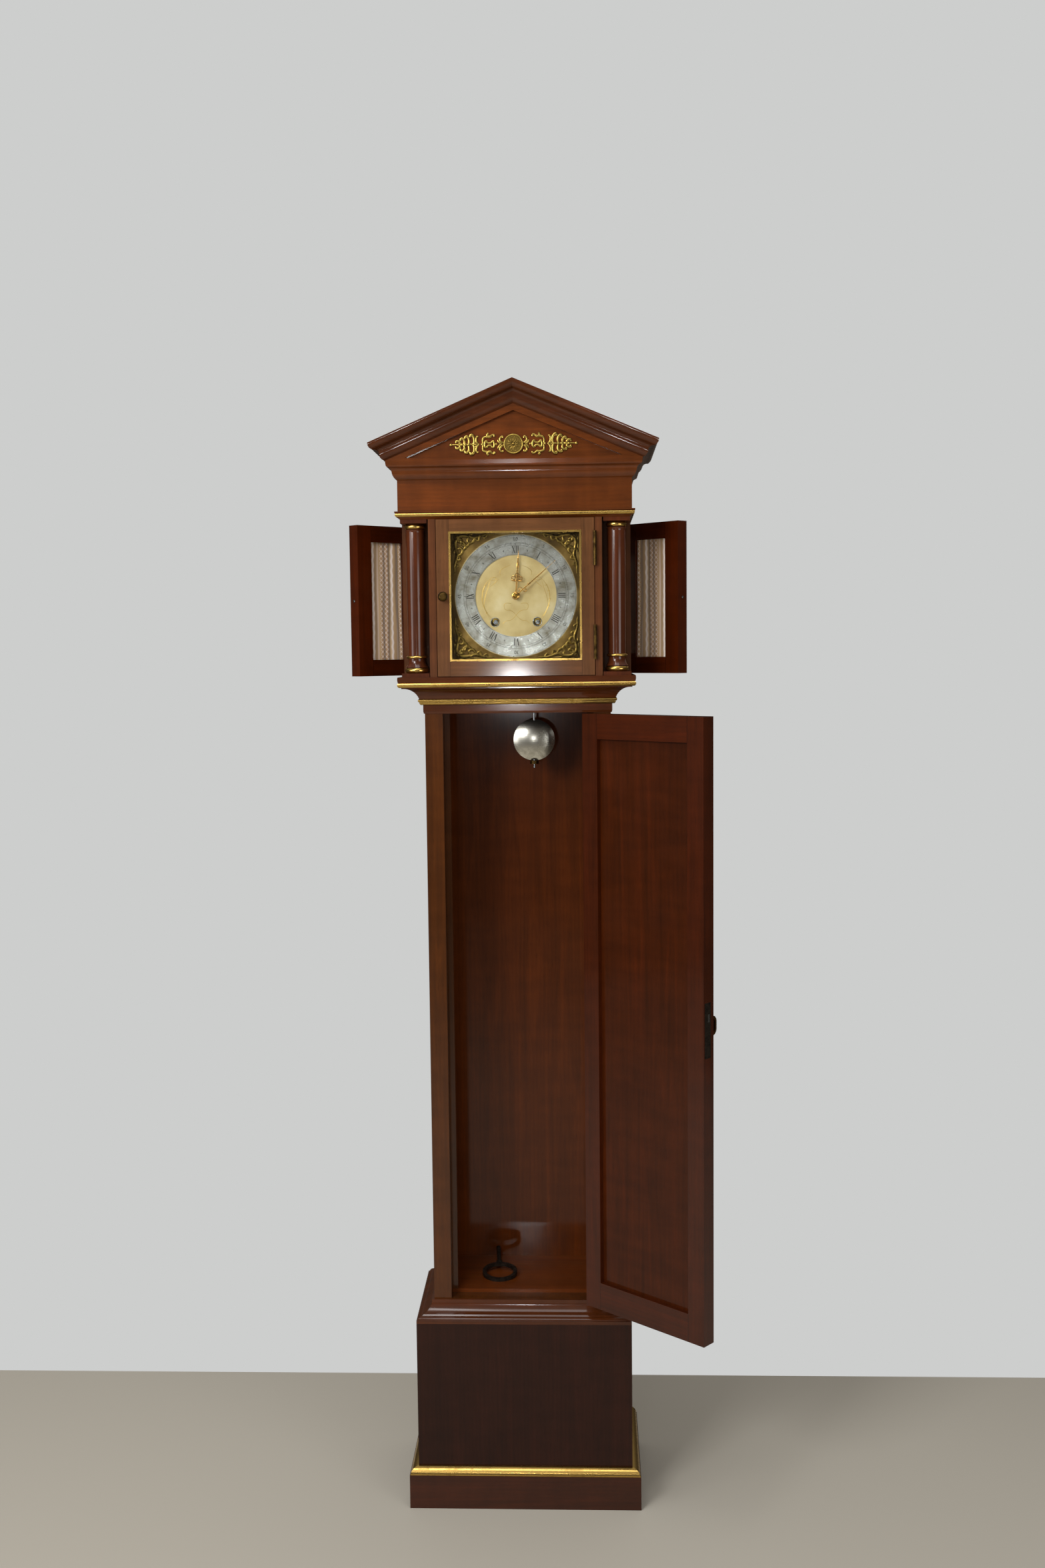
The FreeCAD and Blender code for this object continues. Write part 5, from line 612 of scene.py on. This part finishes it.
def roman(numeral):
    """An upright numeral of thick and thin strokes with serifs, its foot towards the dial's centre."""
    foot, top = NUMERAL_FOOT, NUMERAL_TOP
    left = -sum(LETTER_WIDTHS[letter] for letter in numeral) / 2
    bars = []
    for letter in numeral:
        middle = left + LETTER_WIDTHS[letter] / 2
        half = LETTER_WIDTHS[letter] / 2 - LETTER_MARGIN
        if letter == "I":
            bars.append(stripe((middle, foot), (middle, top), UPRIGHT_STROKE))
            bars += [serif(middle, level, UPRIGHT_SERIF) for level in (foot, top)]
        elif letter == "V":
            bars.append(stripe((middle - half, top), (middle, foot), THICK_STROKE))
            bars.append(stripe((middle + half, top), (middle, foot), THIN_STROKE))
            bars += [serif(middle + side * half, top, SLANT_SERIF) for side in (-1, 1)]
        else:
            bars.append(stripe((middle - half, top), (middle + half, foot), THICK_STROKE))
            bars.append(stripe((middle + half, top), (middle - half, foot), THIN_STROKE))
            bars += [serif(middle + side * half, level, SLANT_SERIF)
                     for side in (-1, 1) for level in (foot, top)]
        left += LETTER_WIDTHS[letter]
    return bars


def clock_turn(minutes):
    return Matrix.Rotation(math.tau * minutes / 60, 4, "Y")


def five_minute_figure(minutes):
    """An arabic figure outside the minute track, its foot towards the dial's centre."""
    bpy.ops.object.text_add()
    figure = bpy.context.active_object
    figure.data.body = str(minutes or 60)
    figure.data.size = FIGURE_SIZE * MM
    figure.data.align_x, figure.data.align_y = "CENTER", "CENTER"
    figure.data.extrude = WAX_DEPTH / 2
    alone(figure)
    bpy.ops.object.convert(target="MESH")
    figure.data.transform(clock_turn(minutes) @ Matrix.Translation((0, 0, FIGURE_CENTRE * MM))
                          @ Matrix.Rotation(math.pi / 2, 4, "X"))
    return figure


def build_numerals():
    """Hour numerals, five-minute figures, the minute track and half-hour marks, cut and filled with wax."""
    marks = []
    for hour, numeral in enumerate(NUMERALS):
        for bar in roman(numeral):
            bar.data.transform(clock_turn(hour * 5))
            marks.append(bar)
        middle = (LOZENGE_FOOT + LOZENGE_TOP) / 2
        for bar in (stripe((0, LOZENGE_FOOT), (0, LOZENGE_TOP), LOZENGE_STROKE),
                    stripe((-LOZENGE_ARM, middle), (LOZENGE_ARM, middle), ARM_STROKE)):
            bar.data.transform(clock_turn(hour * 5 + 2.5))
            marks.append(bar)
        marks.append(five_minute_figure(hour * 5))
    for minute in range(60):
        width = MINUTE_STROKE if minute % 5 else FIVE_MINUTE_STROKE
        tick = stripe((0, MINUTE_FOOT), (0, MINUTE_TOP), width)
        tick.data.transform(clock_turn(minute))
        marks.append(tick)
    for radius, width in CIRCLES:
        ring = upright_ring(radius, width, 160, 4)
        ring.scale.z = CIRCLE_FLATNESS
        marks.append(ring)
    piece = joined("dial_numerals", marks)
    piece.data.transform(Matrix.Translation(ARBOR + Vector((0, RING_FRONT - WAX_DEPTH / 2, 0))))
    finished(piece, "case", engraver_black(), smooth=20.0)


# How flat an engraved line lies, and the rings round the winding holes, in millimetres
ENGRAVED = 0.25
HOLE_RING_RADIUS, HOLE_RING_THICKNESS = 7.6, 0.75


def build_engraving():
    """The centre's engraved border: two long festoons, leaf scrolls and a looped knot below the hands."""
    half = [
        stroke([(8, -14), (22, -10), (21, -26), (8, -24), (0, -34)], (0.3, 0.45, 0.3, 0.4, 0.25), ENGRAVED),
        stroke([(0, -34), (8, -44), (20, -43), (24, -50)], (0.25, 0.4, 0.3, 0.2), ENGRAVED),
        stroke([(39, -44), (50, -34), (60, -14), (60, 6), (54, 22), (44, 32)],
               (0.2, 0.35, 0.5, 0.5, 0.35, 0.2), ENGRAVED),
        stroke([(46, -42), (57, -24), (56, -4), (50, 12), (45, 30)], (0.2, 0.3, 0.4, 0.3, 0.2), ENGRAVED),
        stroke([(44, 32), (36, 34), (34, 29), (40, 27), (47, 29)], (0.3, 0.5, 0.35, 0.3, 0.2), ENGRAVED),
        stroke([(30, 30), (38, 22), (46, 16)], (0.25, 0.5, 0.2), ENGRAVED),
        stroke([(10, 54), (22, 50), (30, 42), (27, 36)], (0.2, 0.4, 0.35, 0.2), ENGRAVED),
    ]
    for across, up, lean in ((60, -6, 0.2), (58, 8, -0.1), (54, 18, -0.4), (58, -18, 0.4), (52, -30, 0.7)):
        leaf = stroke([(-2.5, 0), (0, 1.4), (2.5, 0)], (0.2, 0.6, 0.2), ENGRAVED)
        leaf.data.transform(Matrix.Translation((across * MM, 0, up * MM)) @ Matrix.Rotation(lean, 4, "Y"))
        half.append(leaf)
    piece = joined("dial_centre_engraving", half + [copied(part, MIRROR_ACROSS) for part in half])
    piece.data.transform(Matrix.Translation(ARBOR + Vector((0, DIAL_PLATE_FRONT, 0))))
    finished(piece, "case", SHEET_BRASS)


def build_hole_rings():
    """The turned steel rings round the two winding holes."""
    rings = []
    for hole in WINDING_HOLES:
        ring = upright_ring(HOLE_RING_RADIUS, HOLE_RING_THICKNESS, 48, 10)
        ring.location = (hole.x, DIAL_PLATE_FRONT, hole.z)
        rings.append(ring)
    finished(joined("winding_hole_rings", rings), "case", STEEL)


def loop(across, up, radius, thickness):
    """A small open ring of a pierced hand, with its place and sizes in millimetres."""
    ring = upright_ring(radius, thickness, 32, 8)
    ring.location = (across * MM, 0, up * MM)
    bpy.ops.object.transform_apply(location=True, rotation=True, scale=True)
    return ring


def place_hand(name, parts, node, body, angle):
    """Flattens a hand to its plate's thickness, points it, and puts it where its plain plate is."""
    low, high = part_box(node)
    half = (high.y - low.y) / 2
    piece = joined(name, parts)
    for vertex in piece.data.vertices:
        vertex.co.y = max(-half, min(half, vertex.co.y))
    turn = Matrix.Rotation(math.radians(angle), 4, "Y")
    piece.data.transform(Matrix.Translation(ARBOR + Vector((0, (low.y + high.y) / 2, 0))) @ turn)
    finished(piece, body, HAND_GILDING, [node])


# The hands' angles from twelve, in degrees, and the collet that holds them
HOUR_ANGLE = 4.1
MINUTE_ANGLE = 49.0
COLLET_RADIUS, COLLET_DEPTH, COLLET_DOME = 3.3, 1.6, 0.7


def build_hands():
    """Both pierced hands, along twelve before they are turned, in millimetres from the arbor."""
    hour = [
        loop(0, 0, 4.9, 2.1), stroke([(0, 6), (0, 14), (0, 25)], (1.8, 1.0, 1.3), 1),
        loop(-6.0, 31, 3.4, 0.75), loop(6.0, 31, 3.4, 0.75), loop(0, 36.5, 3.2, 0.75),
        stroke([(-10, 27), (-4, 25.5), (0, 28), (4, 25.5), (10, 27)], (0.5, 0.8, 0.9, 0.8, 0.5), 1),
        stroke([(0, 25), (0, 33), (0, 47)], (1.3, 0.9, 0.9), 1), ball(0, 43.5, 1.7, 1),
        stroke([(0, 46), (0, 51), (0, 57), (0, 66), (0, 80)], (0.8, 2.5, 1.7, 0.9, 0.25), 1),
    ]
    place_hand("hour_hand_pierced", hour, "hour_hand", "hour_wheel", HOUR_ANGLE)
    minute = [
        loop(0, 0, 4.9, 2.0), stroke([(0, 6), (0, 14), (0, 31)], (1.5, 0.8, 0.8), 1),
        loop(-3.2, 14, 2.7, 0.65), loop(3.2, 18.5, 2.7, 0.65), ball(0, 23.5, 1.4, 1),
        stroke([(-2.4, 29), (0, 33), (2.4, 29)], (0.5, 0.9, 0.5), 1), ball(0, 33, 1.5, 1),
        stroke([(0, 31), (0, 44), (0, 68), (0, 94)], (1.0, 1.0, 0.7, 0.22), 1),
    ]
    place_hand("minute_hand_pierced", minute, "minute_hand", "centre_arbor", MINUTE_ANGLE)
    disc = upright_disc(COLLET_RADIUS, COLLET_DEPTH, 48)
    disc.location = (0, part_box("minute_hand")[0].y - COLLET_DEPTH / 2 * MM, ARBOR.z)
    collet = joined("hand_collet", [disc])
    dome = collet.modifiers.new("Dome", "BEVEL")
    dome.width, dome.segments = COLLET_DOME * MM, 4
    alone(collet)
    bpy.ops.object.modifier_apply(modifier="Dome")
    finished(collet, "centre_arbor", TURNED_BRASS, smooth=50.0)


CLOTH_FOLDS = 5
CLOTH_STEPS = 12
CLOTH_ROWS = 30
CLOTH_PLANE = 189.4 * MM
FOLD_DEPTH = 1.0 * MM
CLOTH_WEIGHT = 0.4 * MM


def build_cloths():
    """A gathered panel of satin behind each side door's opening, made for the closed right door and swung.

    The folds wander and lean a little, and are shallower where the cloth is tacked at its ends.
    """
    hinge_y = JOINTS["side_door_right_swing"]["pos_m"][1]
    front_y, rear_y = hinge_y - SIDE_OPENING[1], hinge_y - SIDE_OPENING[0]
    low_z, high_z = SIDE_OPENING_HEIGHTS
    bpy.ops.mesh.primitive_grid_add(x_subdivisions=CLOTH_FOLDS * CLOTH_STEPS, y_subdivisions=CLOTH_ROWS,
                                    size=1)
    cloth = bpy.context.active_object
    mesh = cloth.data
    for vertex in mesh.vertices:
        share, rise = vertex.co.x + 0.5, vertex.co.y + 0.5
        drift = 0.10 * math.sin(2.1 * rise + 5.0 * share) + 0.06 * math.sin(9.0 * rise + 11.0 * share)
        phase = math.tau * (CLOTH_FOLDS * share + drift + 0.16 * math.sin(math.tau * share * 2.0))
        depth = FOLD_DEPTH * (0.8 + 0.2 * math.sin(7.0 * share + 1.7 * rise))
        ends = 1.0 - 0.25 * (2 * rise - 1) ** 4
        vertex.co = (CLOTH_PLANE + depth * ends * math.sin(phase), front_y + (rear_y - front_y) * share,
                     low_z + (high_z - low_z) * rise)
    rows = {}
    for vertex in mesh.vertices:
        rows.setdefault(round(vertex.co.z, 6), []).append(vertex)
    along, widths = {}, []
    for row in rows.values():
        row.sort(key=lambda vertex: vertex.co.y)
        reach = 0.0
        for before, after in zip(row, row[1:]):
            along[before.index] = reach
            reach += (after.co - before.co).length
        along[row[-1].index] = reach
        widths.append(reach)
    layer = mesh.uv_layers.new(name="flat_cloth")
    for corner in mesh.loops:
        vertex = mesh.vertices[corner.vertex_index]
        layer.data[corner.index].uv = (along[vertex.index], vertex.co.z)
    for spare in [other.name for other in mesh.uv_layers if other.name != "flat_cloth"]:
        mesh.uv_layers.remove(mesh.uv_layers[spare])
    alone(cloth)
    weight = cloth.modifiers.new("Weight", "SOLIDIFY")
    weight.thickness, weight.offset = CLOTH_WEIGHT, 0
    bpy.ops.object.modifier_apply(modifier="Weight")
    hinge = Matrix.Translation(SIDE_DOOR_HINGE)
    cloth.data.transform(hinge @ Matrix.Rotation(SIDE_DOOR_ANGLE, 4, "Z") @ hinge.inverted())
    satin = striped_satin()
    for side, piece in (("left", copied(cloth, MIRROR_ACROSS)), ("right", cloth)):
        piece.name = f"side_door_{side}_satin"
        finished(piece, f"side_door_{side}", satin, [f"side_door_{side}_fabric"], 80.0)


def paint(material, *names):
    for name in names:
        NODES[name].data.materials.clear()
        NODES[name].data.materials.append(material)


def paint_wood():
    """Gives every wooden node its mahogany, with the grain along each board."""
    paint(mahogany("mahogany_hood_across", "#55290b", GRAIN_ACROSS, ribbon=0.22), "frieze", "pediment_board",
          "cornice", "entablature_soffit")
    paint(mahogany("mahogany_moulding", "#45200a", GRAIN_ACROSS), "pediment_mouldings", "neck_cavetto",
          "hood_ledge", "base_moulding", "roof_boards")
    paint(mahogany("mahogany_column", "#46200d"), "columns")
    paint(mahogany("mahogany_hood_posts", "#502d17"), "hood_frame")
    paint(mahogany("mahogany_trunk", "#422108"), "trunk_sides", "trunk_front_frame")
    paint(mahogany("mahogany_back", "#4c2106", ribbon=0.15, polish=0.5), "backboard")
    paint(mahogany("mahogany_shelf", "#53260a", GRAIN_ACROSS, polish=0.4), "shelf_boards", "seat_board")
    paint(mahogany("mahogany_base", "#261008", ribbon=0.15, polish=0.4), "base_box")
    paint(mahogany("mahogany_plinth", "#341506", GRAIN_ACROSS), "plinth_skirt")
    paint(mahogany("mahogany_trunk_door_panel", "#381503", ribbon=0.22, polish=0.4), "trunk_door_panel")


def paint_framed_doors():
    """Gives each door frame its mahogany, its rails' grain across. A swung door is turned back first."""
    low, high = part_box("dial_sight_frame")
    rails = (0.0, low.x, high.x, low.z, high.z)
    paint(mahogany("mahogany_dial_door", "#5a3920", rails=rails), "dial_door_frame")
    turned_back = Matrix.Rotation(-TRUNK_DOOR_ANGLE, 3, "Z")
    shift = (turned_back @ TRUNK_DOOR_HINGE - TRUNK_DOOR_HINGE).x
    rails = (TRUNK_DOOR_ANGLE, TRUNK_OPENING[0] + shift, TRUNK_OPENING[1] + shift, *TRUNK_OPENING_HEIGHTS)
    paint(mahogany("mahogany_trunk_door_frame", "#391403", rails=rails), "trunk_door_frame")
    along = SIDE_DOOR_HINGE.x * math.sin(SIDE_DOOR_ANGLE) - SIDE_DOOR_HINGE.y * math.cos(SIDE_DOOR_ANGLE)
    for side, heading in (("right", SIDE_DOOR_ANGLE - math.pi / 2), ("left", -math.pi / 2 - SIDE_DOOR_ANGLE)):
        rails = (heading, along + SIDE_OPENING[0], along + SIDE_OPENING[1], *SIDE_OPENING_HEIGHTS)
        paint(mahogany(f"mahogany_side_door_{side}", "#391202", rails=rails), f"side_door_{side}_frame")


def paint_metal_and_glass():
    paint(GILDING, "gilt_mouldings", "dial_sight_frame")
    paint(SILVERING, "chapter_ring")
    paint(matted_centre(), "dial_plate")
    paint(window_glass(), "dial_glass")
    paint(BOB_METAL, "pendulum_bob")
    paint(TURNED_BRASS, "bell")
    paint(AGED_BRASS, "case_hinge_leaves", "dial_door_fittings", "rating_nut")
    paint(SHEET_BRASS, "movement_frame", "centre_wheel", "cannon_pinion", "third_wheel", "escape_wheel",
          "minute_wheel", "hour_wheel", "going_barrel", "strike_barrel", "strike_pin_wheel")
    paint(STEEL, "side_door_left_fittings", "side_door_right_fittings", "winding_arbor_going",
          "winding_arbor_strike", "anchor", "pendulum_rod", "hammer", "lock_bolt")
    paint(IRON, "winding_key", "trunk_door_fittings")
    paint(BRONZE, "trunk_key")


# Each lamp's place and width in metres, its length where it isn't as long as wide, and its power in watts
LAMPS = {
    "key": ((-1.7, -2.9, 2.5), 1.1, None, 72.0),
    "fill": ((2.0, -2.5, 1.2), 1.4, None, 22.0),
    "side": ((-2.3, -1.8, 1.6), 1.2, None, 18.0),
    "top": ((0.1, -1.0, 3.4), 1.2, None, 12.0),
    "tube": ((-0.5, -1.5, 3.2), 0.3, 1.4, 9.0),
    "flash": ((-0.12, -2.9, 1.46), 0.07, None, 3.0),
}
LAMP_AIM = Vector((0.0, 0.0, 1.1))
FLOOR_SIZE = (9.0, 6.43, 1.0)
FLOOR_CENTRE = (0.0, -2.8, 0.0)


def build_floor():
    """A pale dull floor that ends where the wall stands."""
    bpy.ops.mesh.primitive_plane_add(size=1, location=FLOOR_CENTRE)
    floor = bpy.context.active_object
    floor.name = "floor"
    floor.scale = FLOOR_SIZE
    material, _, shader = new_material("floor_pale")
    shader.inputs["Base Color"].default_value = linear("#b3ada1")
    shader.inputs["Roughness"].default_value = 0.6
    floor.data.materials.append(material)


def build_world():
    """A pale background, and a dim room with a brighter ceiling that polished places mirror."""
    world = bpy.data.worlds.new("room")
    bpy.context.scene.world = world
    world.use_nodes = True
    tree = world.node_tree
    paths = add(tree, "LightPath")
    seen = add(tree, "Math", {0: paths.outputs["Is Camera Ray"], 1: paths.outputs["Is Transmission Ray"]},
               operation="MAXIMUM").outputs[0]
    lit = tree.nodes["Background"]
    lit.inputs["Color"].default_value = linear("#ece8e2")
    lit.inputs["Strength"].default_value = 0.42
    height = add(tree, "SeparateXYZ", {0: add(tree, "TexCoord").outputs["Generated"]}).outputs[2]
    ceiling = add(tree, "ValToRGB", {0: height}, stops=[
        (0.0, "#5a544c"), (0.28, "#6b655d"), (0.75, "#f2efe8")]).outputs[0]
    mirrored = add(tree, "Background", {"Color": ceiling, "Strength": 0.5}).outputs[0]
    wall = add(tree, "Background", {"Color": linear("#cdcecd"), "Strength": 1.0}).outputs[0]
    glossy = paths.outputs["Is Glossy Ray"]
    around = add(tree, "MixShader", {0: glossy, 1: lit.outputs[0], 2: mirrored}).outputs[0]
    mixed = add(tree, "MixShader", {0: seen, 1: around, 2: wall}).outputs[0]
    tree.links.new(mixed, tree.nodes["World Output"].inputs["Surface"])


def build_lamps():
    """Broad soft lamps, a narrow one for the mouldings' edges, and a small one for the dial door's shine."""
    for name, (place, width, length, power) in LAMPS.items():
        bpy.ops.object.light_add(type="AREA", location=place)
        lamp = bpy.context.active_object
        lamp.name = name
        lamp.data.size = width
        if length:
            lamp.data.shape = "RECTANGLE"
            lamp.data.size_y = length
        lamp.data.energy = power
        lamp.rotation_euler = (LAMP_AIM - Vector(place)).to_track_quat("-Z", "Y").to_euler()


# The camera at the photograph's angle: its place in metres, its turns in radians, its lens in millimetres
CAMERA_PLACE = Vector((0.1175, -2.8732, 1.5821))
CAMERA_YAW, CAMERA_PITCH, CAMERA_ROLL = 0.0394, -0.0864, 0.0111
SENSOR_WIDTH, LENS = 36.0, 35.8


def place_camera():
    """The photograph's camera: at the height of the eyes, a little to the right, tilted slightly down."""
    turn = (Matrix.Rotation(CAMERA_YAW, 3, "Z") @ Matrix.Rotation(CAMERA_PITCH, 3, "X")
            @ Matrix.Rotation(CAMERA_ROLL, 3, "Y"))
    right, forward, up = turn.col[0], turn.col[1], turn.col[2]
    pose = Matrix((right, up, -forward)).transposed().to_4x4()
    pose.translation = CAMERA_PLACE
    data = bpy.data.cameras.new("camera")
    data.sensor_width = SENSOR_WIDTH
    data.lens = LENS
    camera = bpy.data.objects.new("camera", data)
    camera.matrix_world = pose
    bpy.context.collection.objects.link(camera)
    bpy.context.scene.camera = camera


bpy.context.scene.view_settings.view_transform = "Standard"
paint_wood()
paint_framed_doors()
paint_metal_and_glass()
build_applique()
build_astragals()
build_spandrels()
build_numerals()
build_engraving()
build_hole_rings()
build_hands()
build_cloths()
build_floor()
build_world()
build_lamps()
place_camera()
